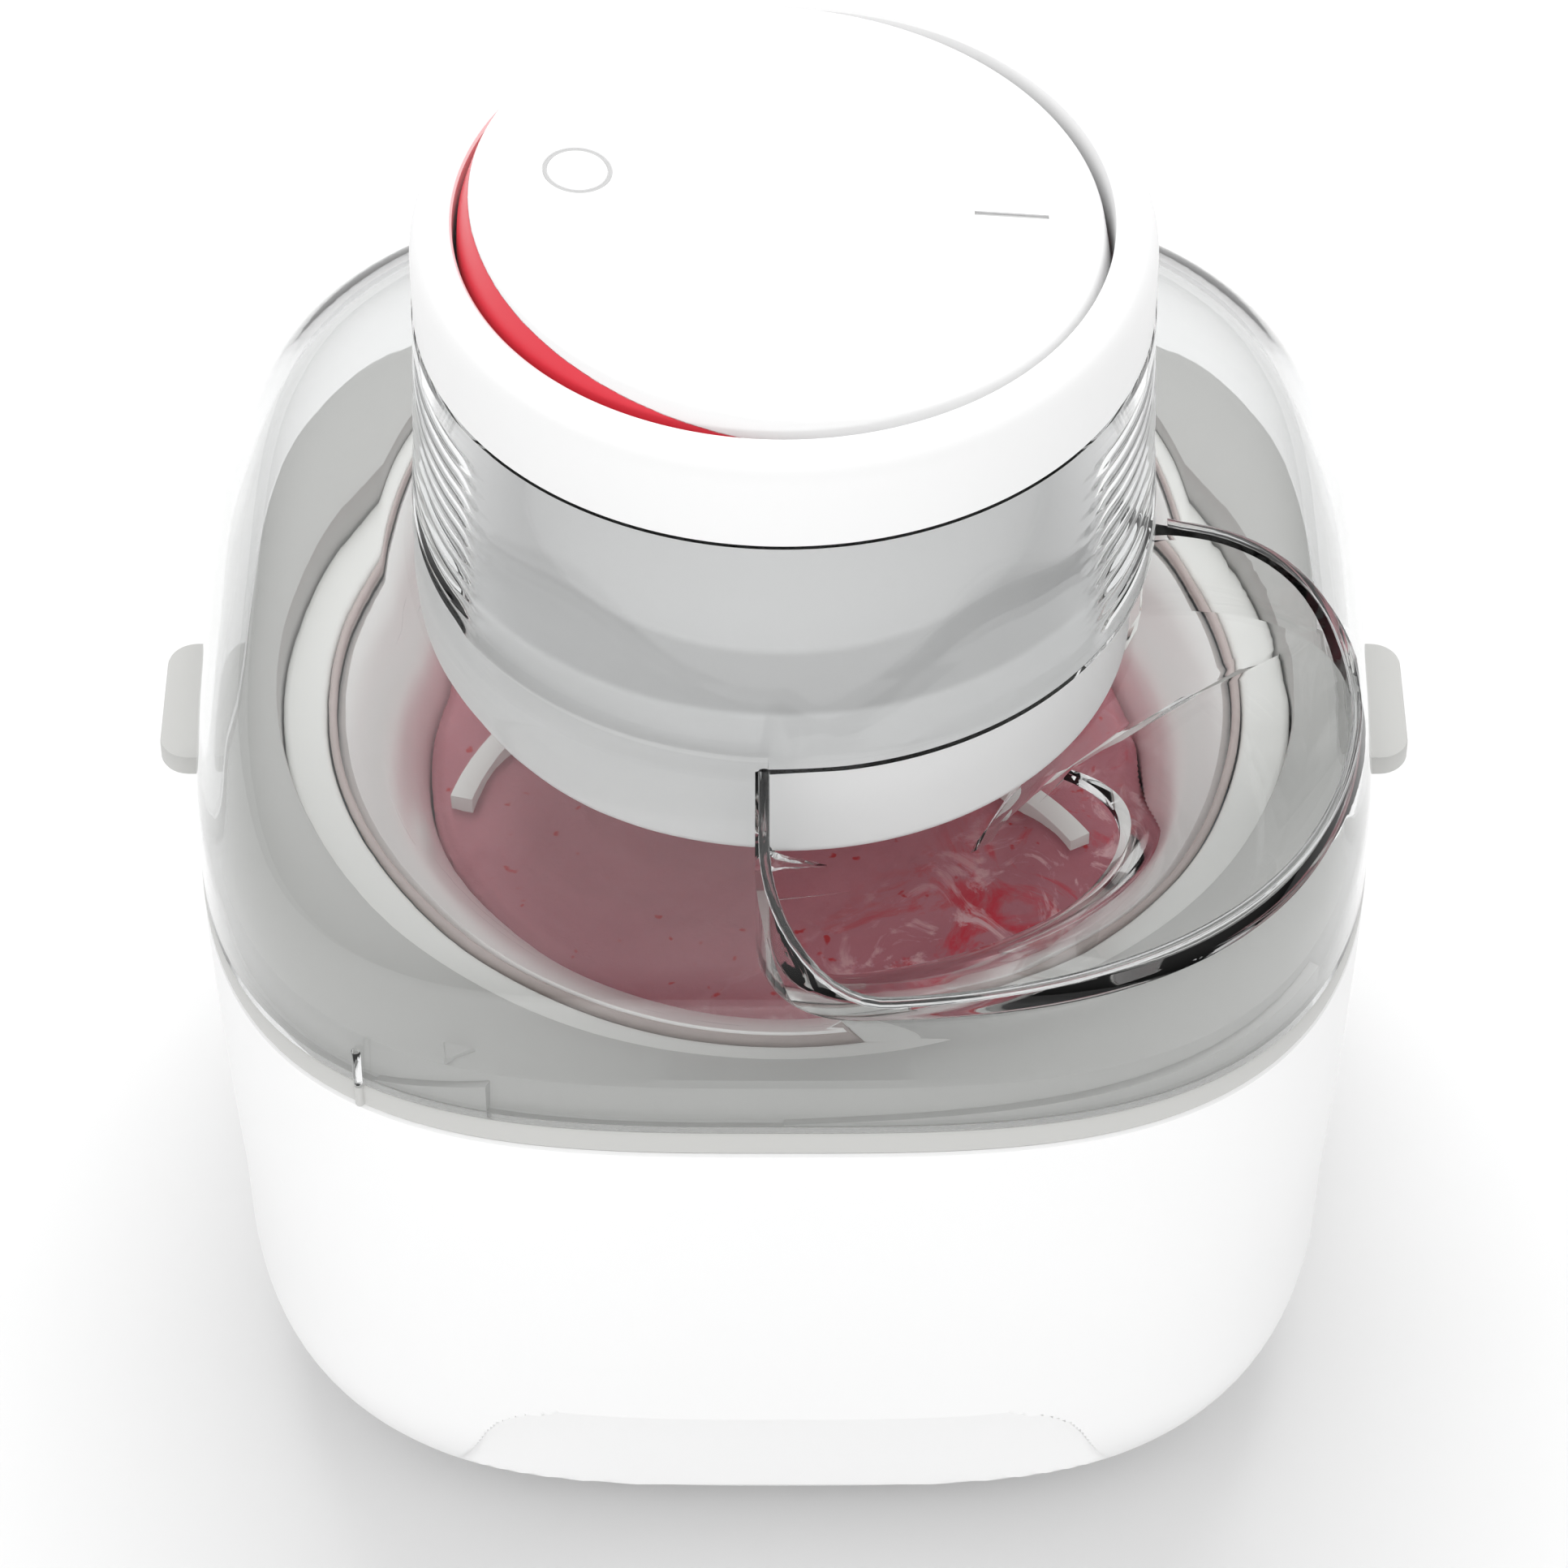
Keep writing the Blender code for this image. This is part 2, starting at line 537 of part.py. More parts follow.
def make_motor(head):
    low, skin = PLATE_TOP + GAP, 1.5 * MM
    can = [(6.3 * MM, low), (MOTOR_RADIUS, low), (MOTOR_RADIUS, MOTOR_TOP), (MOTOR_RADIUS - skin, MOTOR_TOP),
           (MOTOR_RADIUS - skin, low + skin), (6.3 * MM, low + skin)]
    placed("motor_can", turned(can, 32), "steel", parent=head)
    lid = tube(2.8 * MM, MOTOR_RADIUS, MOTOR_TOP + GAP, MOTOR_TOP + 2 * MM, 32)
    placed("motor_end_cap", lid, "steel", parent=head)
    placed("motor_stator", tube(13.6 * MM, 22.2 * MM, 198 * MM, 224 * MM, 24), "copper", parent=head)
    placed("motor_bush", tube(2.8 * MM, 6.0 * MM, low, 197 * MM), "brass", parent=head)
    placed("output_bush", tube(OUTPUT_SHAFT_RADIUS + GAP, 6.2 * MM, 154 * MM, 162 * MM), "brass", parent=head)


# ---- Power rocker

def make_rocker(rocker):
    face = [(0, ROCKER_UNDERSIDE), (ROCKER_RADIUS, ROCKER_UNDERSIDE), (ROCKER_RADIUS, 8.4 * MM),
            (57.3 * MM, ROCKER_FACE), (0, ROCKER_FACE)]
    disc = placed("rocker_disc", turned(face), "white_plastic", parent=rocker)
    for sign, end in ((-1, "front"), (1, "rear")):
        y = sign * PIVOT_LUG_Y
        low, high = (-4 * MM, y - 2.5 * MM, -4 * MM), (4 * MM, y + 2.5 * MM, ROCKER_UNDERSIDE + 1 * MM)
        lug = placed(f"pivot_lug_{end}_body", block(low, high), parent=rocker)
        combine(disc, lug, "UNION")
    bore = pivot_bore("rocker_pivot_cutter", 0)
    bore.parent = rocker
    combine(disc, bore, "DIFFERENCE")
    inner, top = ROCKER_RADIUS - 2 * MM, ROCKER_UNDERSIDE - GAP
    flared = [(inner, -2 * MM), (BAND_FOOT, -2 * MM), (BAND_FOOT, 1 * MM), (ROCKER_RADIUS, top), (inner, top)]
    placed("rocker_red_band", turned(flared), "red_plastic", parent=rocker)
    pin = placed("rocker_pivot_pin", rod(PIN_RADIUS, -49 * MM, 49 * MM, 16), "steel", parent=rocker)
    pin.rotation_euler = (pi / 2, 0, 0)


# ---- Gear train

def gear_outline(teeth, module, phase, stub=0.8):
    """Involute outline with a tooth centred on the angle phase. A small gear's flanks have a middle point."""
    pitch = teeth * module / 2
    base = pitch * cos(PRESSURE_ANGLE)
    tip = pitch + stub * module
    root = pitch - 1.15 * module
    half_pitch = pi / (2 * teeth) - BACKLASH / (2 * pitch) / 2
    involute = tan(PRESSURE_ANGLE) - PRESSURE_ANGLE

    def half_angle(radius):
        if radius <= base:
            return half_pitch + involute
        a = acos(base / radius)
        return half_pitch + involute - (tan(a) - a)

    outline = []
    flank = (root, tip) if teeth > 2 * PINION_TEETH else (root, (max(root, base) + tip) / 2, tip)
    for k in range(teeth):
        centre = phase + tau * k / teeth
        rising = [(r, centre - half_angle(r)) for r in flank]
        falling = [(r, centre + half_angle(r)) for r in reversed(flank)]
        outline += [(r * cos(a), r * sin(a)) for r, a in rising + falling]
    return outline


def meshed(teeth, direction):
    """The phase of a gear that shows a gap to its partner's tooth. direction points to the partner."""
    return direction + pi / teeth


def cut_bore(gear, radius, low, high, at):
    bore = placed(f"{gear.name}_bore_cutter", rod(radius, low - WALL, high + WALL, 16), at=at)
    combine(gear, bore, "DIFFERENCE")


def gear_places():
    """Centres of the two stepped gears, from the centre distances of the three meshes."""
    fine = FINE_MODULE * (PINION_TEETH + WHEEL_TEETH) / 2
    coarse = COARSE_MODULE * (LAST_PINION_TEETH + OUTPUT_TEETH) / 2
    a = Vector((fine * cos(GEAR_A_ANGLE), fine * sin(GEAR_A_ANGLE), 0))
    b_angle = GEAR_A_ANGLE + acos(coarse / (2 * fine))
    b = Vector((coarse * cos(b_angle), coarse * sin(b_angle), 0))
    return a, b, b_angle


def stepped_gear(name, wheel, pinion, wheel_z, pinion_z, at, parent):
    """A wheel and a pinion moulded as one gear. The pinion reaches into the wheel."""
    gear = placed(name, prism(wheel, *wheel_z), "acetal", at=at, parent=parent)
    combine(gear, placed(f"{name}_pinion_body", prism(pinion, *pinion_z), at=at), "UNION")
    cut_bore(gear, PIN_RADIUS + GAP, pinion_z[0], wheel_z[1], at)


def make_gears(rotor, first, second, output, head):
    a, b, b_angle = gear_places()
    towards_b = atan2(b.y - a.y, b.x - a.x)
    pinion = gear_outline(PINION_TEETH, FINE_MODULE, GEAR_A_ANGLE)
    driver = placed("motor_pinion", prism(pinion, 180 * MM, 186 * MM), "brass", parent=rotor)
    cut_bore(driver, MOTOR_SHAFT_RADIUS + GAP, 180 * MM, 186 * MM, (0, 0, 0))
    placed("motor_shaft", rod(MOTOR_SHAFT_RADIUS, 179.5 * MM, 235 * MM), "steel", parent=rotor)
    core = tube(MOTOR_SHAFT_RADIUS + GAP, 13 * MM, 199 * MM, 223 * MM, 24)
    placed("motor_rotor", core, "steel", parent=rotor)

    wheel_a = gear_outline(WHEEL_TEETH, FINE_MODULE, meshed(WHEEL_TEETH, GEAR_A_ANGLE + pi))
    pinion_a = gear_outline(PINION_TEETH, FINE_MODULE, towards_b)
    stepped_gear("stepped_gear_first", wheel_a, pinion_a, (181 * MM, 185 * MM), (173.3 * MM, 182 * MM), a,
                 first)
    wheel_b = gear_outline(WHEEL_TEETH, FINE_MODULE, meshed(WHEEL_TEETH, towards_b + pi))
    pinion_b = gear_outline(LAST_PINION_TEETH, COARSE_MODULE, b_angle + pi)
    stepped_gear("stepped_gear_second", wheel_b, pinion_b, (174 * MM, 178.5 * MM), (162 * MM, 175 * MM), b,
                 second)
    pin_top = PLATE_BOTTOM - GAP
    placed("gear_pin_first", rod(PIN_RADIUS, 172.8 * MM, pin_top), "steel", at=a, parent=head)
    pin = rod(PIN_RADIUS, DRUM_BOTTOM + 2 * MM + GAP, pin_top)
    placed("gear_pin_second", pin, "steel", at=b, parent=head)

    wheel_out = gear_outline(OUTPUT_TEETH, COARSE_MODULE, meshed(OUTPUT_TEETH, b_angle))
    driven = placed("output_gear", prism(wheel_out, 163 * MM, 171 * MM), "acetal", parent=output)
    cut_bore(driven, OUTPUT_SHAFT_RADIUS + GAP, 163 * MM, 171 * MM, (0, 0, 0))
    placed("output_shaft", rod(OUTPUT_SHAFT_RADIUS, 130 * MM, OUTPUT_SHAFT_TOP), "steel", parent=output)
    sleeve = drive_hexagon(7 * MM, OUTPUT_SHAFT_RADIUS + GAP, 128 * MM, 152 * MM)
    placed("drive_coupling", sleeve, "black_plastic", parent=output)


def drive_hexagon(outer, bore, low, high):
    """A hexagonal sleeve on the output shaft."""
    outside = hexagon_points(outer)
    inside = [(bore * cos(tau * i / 12), bore * sin(tau * i / 12)) for i in range(12)]
    levels = ((inside, low), (outside, low), (outside, high), (inside, high))
    return lofted([at_height(outline, z) for outline, z in levels], closed=True)


def hexagon_points(radius):
    """Twelve points on a hexagon: its corners and the middles of its sides."""
    reach = (radius, radius * cos(pi / 6))
    return [(reach[i % 2] * cos(tau * i / 12), reach[i % 2] * sin(tau * i / 12)) for i in range(12)]


# ---- Paddle

def blade_outline(start_angle, start_radius, end_angle, end_radius):
    """Plan of a curved blade that swings from one radius and angle to another."""
    path = []
    for i in range(BLADE_STEPS + 1):
        share = i / BLADE_STEPS
        angle = start_angle + (end_angle - start_angle) * share
        radius = start_radius + (end_radius - start_radius) * share
        path.append(Vector((radius * cos(angle), radius * sin(angle))))
    near, far = [], []
    for i, here in enumerate(path):
        along = (path[min(i + 1, BLADE_STEPS)] - path[max(i - 1, 0)]).normalized()
        across = Vector((-along.y, along.x)) * BLADE_THICKNESS / 2
        near.append(tuple(here - across))
        far.append(tuple(here + across))
    return near + list(reversed(far))


def arm_block(angle, reach, low, high, width):
    c, s = cos(angle), sin(angle)
    half = width / 2
    corners = ((0, -half), (reach, -half), (reach, half), (0, half))
    return prism([(x * c - y * s, x * s + y * c) for x, y in corners], low, high)


def make_paddle(paddle):
    hub_low = 92 * MM
    profile = [(0, hub_low), (HUB_RADIUS - 2 * MM, hub_low), (HUB_RADIUS, hub_low + 2 * MM),
               (HUB_RADIUS, HUB_TOP - 1 * MM), (HUB_RADIUS - 1 * MM, HUB_TOP), (0, HUB_TOP)]
    hub = placed("mixing_paddle", turned(profile, 24), "pale_plastic", parent=paddle)
    pieces = []
    for index, (start, near, end, far) in enumerate(BLADES):
        outline = blade_outline(radians(start), near * MM, radians(end), far * MM)
        pieces.append(placed(f"blade_{index + 1}_body", prism(outline, BLADE_BOTTOM, BLADE_TOP)))
        for bar, low, high in (("arm", 94 * MM, 104 * MM), ("foot_bar", BLADE_BOTTOM, 36 * MM)):
            form = arm_block(radians(start), (near + 1) * MM, low, high, 7 * MM)
            pieces.append(placed(f"{bar}_{index + 1}_body", form))
    pieces.append(placed("post_body", rod(6 * MM, BLADE_BOTTOM - 2 * MM, 94 * MM, 16)))
    for piece in pieces:
        combine(hub, piece, "UNION")
    socket = placed("paddle_socket_cutter", prism(hexagon_points(7.6 * MM), 124 * MM, HUB_TOP + WALL))
    combine(hub, socket, "DIFFERENCE")


def empty(name, at=(0, 0, 0), parent=None):
    made = bpy.data.objects.new(name, None)
    bpy.context.scene.collection.objects.link(made)
    made.location = at
    made.parent = parent
    return made


def build():
    clear_scene()
    root = empty("base_frame")
    bowl = empty("bowl_frame", parent=root)
    lid = empty("lid_frame", parent=bowl)
    head = empty("head_frame", parent=lid)
    a, b, _ = gear_places()
    make_base(root)
    make_bowl(bowl)
    make_lid(lid)
    make_head(head)
    rocker = empty("rocker_frame", at=(0, 0, ROCKER_PIVOT_Z), parent=head)
    rocker.rotation_euler = (0, ROCKER_TILT, 0)
    make_rocker(rocker)
    underside = ROCKER_UNDERSIDE * cos(ROCKER_TILT) - PLUNGER_X * sin(ROCKER_TILT)
    plunger = rod(2.1 * MM, 244 * MM, ROCKER_PIVOT_Z + underside - 0.6 * MM)
    placed("switch_plunger", plunger, "white_plastic", at=(PLUNGER_X, 0, 0), parent=head)
    make_gears(empty("rotor_frame", parent=head), empty("first_gear_frame", parent=head),
               empty("second_gear_frame", parent=head), empty("output_frame", parent=head), head)
    make_paddle(empty("paddle_frame", parent=bowl))


build()
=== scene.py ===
"""Looks of the ice cream maker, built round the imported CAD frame. Metres, +Z up, front at -Y."""

import json
from math import acos, atan2, cos, hypot, pi, radians, sin, tau

import bmesh
import bpy
from mathutils import Matrix, Vector, noise

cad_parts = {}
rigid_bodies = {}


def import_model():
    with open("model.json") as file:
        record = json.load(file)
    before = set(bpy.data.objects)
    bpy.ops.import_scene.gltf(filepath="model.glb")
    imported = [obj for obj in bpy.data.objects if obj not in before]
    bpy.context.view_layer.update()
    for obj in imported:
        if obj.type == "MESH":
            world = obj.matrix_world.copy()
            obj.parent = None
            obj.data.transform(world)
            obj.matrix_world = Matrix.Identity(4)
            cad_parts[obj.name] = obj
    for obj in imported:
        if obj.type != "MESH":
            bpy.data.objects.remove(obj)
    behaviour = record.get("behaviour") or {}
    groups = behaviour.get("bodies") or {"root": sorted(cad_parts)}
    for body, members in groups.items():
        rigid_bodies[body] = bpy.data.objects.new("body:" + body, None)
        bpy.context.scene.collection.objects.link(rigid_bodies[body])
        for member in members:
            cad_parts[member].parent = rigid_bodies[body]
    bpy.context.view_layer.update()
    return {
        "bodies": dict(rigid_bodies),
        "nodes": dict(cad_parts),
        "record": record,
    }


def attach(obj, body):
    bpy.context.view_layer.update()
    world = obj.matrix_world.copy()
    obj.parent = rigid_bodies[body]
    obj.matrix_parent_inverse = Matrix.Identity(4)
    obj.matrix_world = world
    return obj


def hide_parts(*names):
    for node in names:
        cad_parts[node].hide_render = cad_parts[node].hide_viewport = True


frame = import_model()

MM = 0.001
ROUND = 192                    # sides of a large round piece
SMOOTH_ANGLE = radians(32)

# Plan of the base, collar and lid: a rounded square
HALF_X = 112.5 * MM
HALF_Y = 113.0 * MM
SQUARENESS = 3.2

BASE_TOP = 128.0 * MM
BASE_BOTTOM = 2.0 * MM
BASE_KNEE = 38.0 * MM
BASE_KNEE_INSET = 3.5 * MM
BASE_UNDERCUT = 34.0 * MM
BASE_WALL = 3.0 * MM

COLLAR_LOW = 128.3 * MM
COLLAR_FLANGE = 134.0 * MM
COLLAR_TOP = 142.5 * MM
COLLAR_HOLE = 99.3 * MM

LID_BOTTOM = 134.3 * MM
NECK_TOP = 237.7 * MM
NECK_FOOT = 188.2 * MM
MOUTH_HEIGHT = 143.0 * MM      # lower edge of the chute's funnel
CHUTE_LEFT = -3.0 * MM
CHUTE_BACK = -8.0 * MM
CHUTE_INSET = 4.0 * MM
CHUTE_SKIN = 2.2 * MM
CHUTE_CENTRE = (66 * MM, -68 * MM)
MOUTH_CENTRE = (36 * MM, -57 * MM)

ROCKER_PIVOT = 250.0 * MM
ROCKER_TILT = radians(4.5)
ROCKER_UNDER = 6.7 * MM        # underside of the disc above the pivot
ROCKER_FACE = 9.5 * MM
BAND_INNER = 56.0 * MM
BAND_EDGE = 3.8 * MM           # where the white meets the red below the face's centre, above the pivot
BAND_SLOPE = 0.075             # fall of that edge towards the right
CORNERS = ((-1, -1), (1, -1), (1, 1), (-1, 1))
CREAM_TOP = 116.5 * MM
CREAM_RADIUS = 69.6 * MM


# ---- Materials

def shader_tree(name):
    made = bpy.data.materials.new(name)
    made.use_nodes = True
    tree = made.node_tree
    return made, tree, tree.nodes["Principled BSDF"]


def coordinates(tree):
    return tree.nodes.new("ShaderNodeTexCoord").outputs["Object"]


def noise_value(tree, where, scale, detail=3.0, roughness=0.5, distortion=0.0):
    node = tree.nodes.new("ShaderNodeTexNoise")
    tree.links.new(where, node.inputs["Vector"])
    node.inputs["Scale"].default_value = scale
    node.inputs["Detail"].default_value = detail
    node.inputs["Roughness"].default_value = roughness
    node.inputs["Distortion"].default_value = distortion
    return node.outputs["Fac"]


def ranged(tree, value, low, high, start=0.3, end=0.7):
    node = tree.nodes.new("ShaderNodeMapRange")
    tree.links.new(value, node.inputs["Value"])
    node.inputs["From Min"].default_value = start
    node.inputs["From Max"].default_value = end
    node.inputs["To Min"].default_value = low
    node.inputs["To Max"].default_value = high
    return node.outputs["Result"]


def mixed(tree, factor, first, second):
    node = tree.nodes.new("ShaderNodeMix")
    node.data_type = "RGBA"
    tree.links.new(factor, node.inputs["Factor"])
    for socket, value in (("A", first), ("B", second)):
        place = next(s for s in node.inputs if s.name == socket and s.type == "RGBA")
        if isinstance(value, tuple):
            place.default_value = (*value, 1)
        else:
            tree.links.new(value, place)
    return next(s for s in node.outputs if s.type == "RGBA")


def bumped(tree, shader, height, strength, distance):
    node = tree.nodes.new("ShaderNodeBump")
    node.inputs["Strength"].default_value = strength
    node.inputs["Distance"].default_value = distance
    tree.links.new(height, node.inputs["Height"])
    tree.links.new(node.outputs["Normal"], shader.inputs["Normal"])


def tinted(colour, amount):
    return tuple(min(1.0, max(0.0, c * amount)) for c in colour)


def moulded(name, colour, roughness, grain=900.0, depth=0.05, mottle=0.02, metallic=0.0, coat=0.0):
    """Moulded plastic, rubber or cast metal: faint cloudiness, uneven gloss and a fine skin."""
    made, tree, shader = shader_tree(name)
    where = coordinates(tree)
    cloud = noise_value(tree, where, 38.0, 4.0)
    tree.links.new(mixed(tree, cloud, tinted(colour, 1 - mottle), tinted(colour, 1 + mottle)),
                   shader.inputs["Base Color"])
    gloss = noise_value(tree, where, 120.0, 3.0)
    tree.links.new(ranged(tree, gloss, roughness * 0.95, roughness * 1.05), shader.inputs["Roughness"])
    shader.inputs["Metallic"].default_value = metallic
    shader.inputs["Coat Weight"].default_value = coat
    bumped(tree, shader, noise_value(tree, where, grain, 2.0), depth, 0.1 * MM)
    return made


def ring_coordinates(tree, along=400.0, around=6.0):
    """Coordinates that run out from the Z axis, for marks that a lathe or a spinning tool leaves."""
    split = tree.nodes.new("ShaderNodeSeparateXYZ")
    tree.links.new(coordinates(tree), split.inputs[0])
    flat = tree.nodes.new("ShaderNodeCombineXYZ")
    tree.links.new(split.outputs["X"], flat.inputs["X"])
    tree.links.new(split.outputs["Y"], flat.inputs["Y"])
    length = tree.nodes.new("ShaderNodeVectorMath")
    length.operation = "LENGTH"
    tree.links.new(flat.outputs[0], length.inputs[0])
    joined = tree.nodes.new("ShaderNodeCombineXYZ")
    for source, target, factor in ((length.outputs["Value"], "X", along), (split.outputs["Z"], "Y", along),
                                   (split.outputs["X"], "Z", around)):
        scaled = tree.nodes.new("ShaderNodeMath")
        scaled.operation = "MULTIPLY"
        scaled.inputs[1].default_value = factor
        tree.links.new(source, scaled.inputs[0])
        tree.links.new(scaled.outputs[0], joined.inputs[target])
    return joined.outputs[0]


def spun_metal(name, colour, roughness):
    """Satin metal with faint rings, a little milky as an anodised skin is."""
    made, tree, shader = shader_tree(name)
    rings = ring_coordinates(tree, along=900.0)
    lines = noise_value(tree, rings, 1.0, 4.0, 0.6)
    shade = mixed(tree, lines, tinted(colour, 0.98), tinted(colour, 1.02))
    tree.links.new(shade, shader.inputs["Base Color"])
    tree.links.new(ranged(tree, lines, roughness * 0.9, roughness * 1.15), shader.inputs["Roughness"])
    shader.inputs["Metallic"].default_value = 0.6
    bumped(tree, shader, lines, 0.02, 0.03 * MM)
    return made


def clear_plastic(name, tint, index=1.45, roughness=0.02):
    """Clear moulding that lets the lamps' light through to what it covers."""
    made, tree, shader = shader_tree(name)
    where = coordinates(tree)
    cloud = noise_value(tree, where, 25.0, 2.0)
    tree.links.new(mixed(tree, cloud, tinted(tint, 0.99), tinted(tint, 1.01)), shader.inputs["Base Color"])
    tree.links.new(ranged(tree, noise_value(tree, where, 60.0), roughness * 0.5, roughness * 1.5),
                   shader.inputs["Roughness"])
    shader.inputs["IOR"].default_value = index
    shader.inputs["Transmission Weight"].default_value = 1.0
    path = tree.nodes.new("ShaderNodeLightPath")
    open_way = tree.nodes.new("ShaderNodeBsdfTransparent")
    open_way.inputs["Color"].default_value = (*tinted(tint, 0.98), 1)
    mix = tree.nodes.new("ShaderNodeMixShader")
    tree.links.new(path.outputs["Is Shadow Ray"], mix.inputs["Fac"])
    tree.links.new(shader.outputs[0], mix.inputs[1])
    tree.links.new(open_way.outputs[0], mix.inputs[2])
    tree.links.new(mix.outputs[0], tree.nodes["Material Output"].inputs["Surface"])
    return made


def cream_material():
    """Strawberry ice cream: dusty pink, soft and slightly wet, with redder and paler ripples laid only on the
    patch under the chute's opening, which is painted light where more light falls through the open chute.
    """
    made, tree, shader = shader_tree("strawberry_cream")
    where = coordinates(tree)
    base = mixed(tree, ranged(tree, noise_value(tree, where, 30.0, 5.0, 0.6, 0.6), 0, 1, 0.35, 0.65),
                 (0.46, 0.165, 0.20), (0.53, 0.22, 0.255))
    split = tree.nodes.new("ShaderNodeSeparateXYZ")
    tree.links.new(where, split.inputs[0])
    side = tree.nodes.new("ShaderNodeMath")
    side.operation = "SUBTRACT"
    tree.links.new(split.outputs["X"], side.inputs[0])
    tree.links.new(split.outputs["Y"], side.inputs[1])
    # Mask over the front-right patch under the chute's opening. The redder and paler ripple colours below go
    # only there: a real ripple pattern, confined to that patch as painted light.
    corner = ranged(tree, side.outputs[0], 0, 1, 45 * MM, 75 * MM)
    ripple = ranged(tree, noise_value(tree, where, 42.0, 6.0, 0.62, 1.4), 0, 1, 0.50, 0.60)
    red_ripple_painted_light = tree.nodes.new("ShaderNodeMath")
    red_ripple_painted_light.operation = "MULTIPLY"
    tree.links.new(corner, red_ripple_painted_light.inputs[0])
    tree.links.new(ripple, red_ripple_painted_light.inputs[1])
    white = ranged(tree, noise_value(tree, where, 60.0, 6.0, 0.65, 2.0), 0, 1, 0.52, 0.62)
    pale_ripple_painted_light = tree.nodes.new("ShaderNodeMath")
    pale_ripple_painted_light.operation = "MULTIPLY"
    tree.links.new(corner, pale_ripple_painted_light.inputs[0])
    tree.links.new(white, pale_ripple_painted_light.inputs[1])
    rippled = mixed(tree, red_ripple_painted_light.outputs[0], base, (0.58, 0.05, 0.075))
    rippled = mixed(tree, pale_ripple_painted_light.outputs[0], rippled, (0.74, 0.46, 0.49))
    speck = ranged(tree, noise_value(tree, where, 330.0, 2.0, 0.4), 0, 1, 0.70, 0.76)
    tree.links.new(mixed(tree, speck, rippled, (0.50, 0.05, 0.06)), shader.inputs["Base Color"])
    tree.links.new(ranged(tree, noise_value(tree, where, 200.0), 0.5, 0.75), shader.inputs["Roughness"])
    shader.inputs["Specular IOR Level"].default_value = 0.25
    shader.inputs["Subsurface Weight"].default_value = 0.15
    shader.inputs["Subsurface Radius"].default_value = (0.004, 0.002, 0.0015)
    shader.inputs["Subsurface Scale"].default_value = 1.0
    bumped(tree, shader, noise_value(tree, where, 420.0, 5.0, 0.65), 0.6, 0.5 * MM)
    return made


def make_materials():
    smooth = {"grain": 260.0, "mottle": 0.004}
    soft = {"grain": 260.0, "depth": 0.01}
    return {
        "white_plastic": moulded("white_plastic", (0.90, 0.90, 0.90), 0.32, depth=0.006, **smooth),
        "white_shell": moulded("white_shell", (0.91, 0.91, 0.91), 0.32, depth=0.004, **smooth),
        # Grey for the inlays in the rocker's O and | grooves: painted shade that darkens the grooves.
        "groove_shade_grey": moulded("groove_shade_grey", (0.50, 0.50, 0.50), 0.40, depth=0.02, mottle=0.01),
        "grey_plastic": moulded("grey_plastic", (0.55, 0.55, 0.535), 0.40, mottle=0.008, **soft),
        "pale_plastic": moulded("pale_plastic", (0.90, 0.905, 0.88), 0.36, mottle=0.006, **soft),
        "red_plastic": moulded("red_plastic", (0.78, 0.035, 0.06), 0.30),
        "rubber": moulded("rubber", (0.045, 0.045, 0.048), 0.75, grain=1400.0, depth=0.2, mottle=0.12),
        "seal": moulded("seal", (0.58, 0.50, 0.48), 0.60, grain=1200.0, depth=0.12, mottle=0.1),
        "aluminium": spun_metal("aluminium", (0.96, 0.955, 0.94), 0.30),
        "steel": moulded("steel", (0.56, 0.57, 0.58), 0.34, metallic=1.0, mottle=0.05),
        "brass": moulded("brass", (0.78, 0.57, 0.28), 0.32, metallic=1.0, mottle=0.05),
        "copper": moulded("copper", (0.72, 0.35, 0.20), 0.42, grain=2500.0, depth=0.4, metallic=1.0,
                          mottle=0.1),
        "acetal": moulded("acetal", (0.85, 0.84, 0.78), 0.40),
        "black_plastic": moulded("black_plastic", (0.04, 0.04, 0.04), 0.45, mottle=0.08),
        "gel": moulded("gel", (0.35, 0.55, 0.70), 0.50, mottle=0.06),
        "clear_plastic": clear_plastic("clear_plastic", (0.92, 0.925, 0.925)),
    }


# ---- Mesh helpers

def new_object(name, bm, look=None, sharp=SMOOTH_ANGLE):
    bmesh.ops.remove_doubles(bm, verts=bm.verts, dist=0.0005 * MM)
    bmesh.ops.recalc_face_normals(bm, faces=bm.faces)
    mesh = bpy.data.meshes.new(name)
    bm.to_mesh(mesh)
    bm.free()
    made = bpy.data.objects.new(name, mesh)
    bpy.context.scene.collection.objects.link(made)
    if look:
        mesh.materials.append(look)
    mesh.shade_smooth()
    mesh.set_sharp_from_angle(angle=sharp)
    return made


def turned(profile, steps=ROUND):
    """A closed profile of (r, z) points, turned about Z. One that starts on the axis is left open there."""
    bm = bmesh.new()
    verts = [bm.verts.new((r, 0, z)) for r, z in profile]
    pairs = list(zip(verts, verts[1:]))
    if profile[0][0] > 0:
        pairs.append((verts[-1], verts[0]))
    edges = [bm.edges.new(pair) for pair in pairs]
    bmesh.ops.spin(bm, geom=verts + edges, cent=(0, 0, 0), axis=(0, 0, 1), angle=tau, steps=steps,
                   use_merge=True)
    return bm


def lofted(rings, closed=False):
    """Skins rings of equal point count. closed joins the last ring to the first."""
    bm = bmesh.new()
    rows = [[bm.verts.new(point) for point in ring] for ring in rings]
    pairs = list(zip(rows, rows[1:]))
    if closed:
        pairs.append((rows[-1], rows[0]))
    else:
        bm.faces.new(rows[0])
        bm.faces.new(rows[-1])
    count = len(rows[0])
    for low, high in pairs:
        for i in range(count):
            j = (i + 1) % count
            bm.faces.new((low[i], low[j], high[j], high[i]))
    return bm


def at_height(outline, z):
    return [(x, y, z) for x, y in outline]


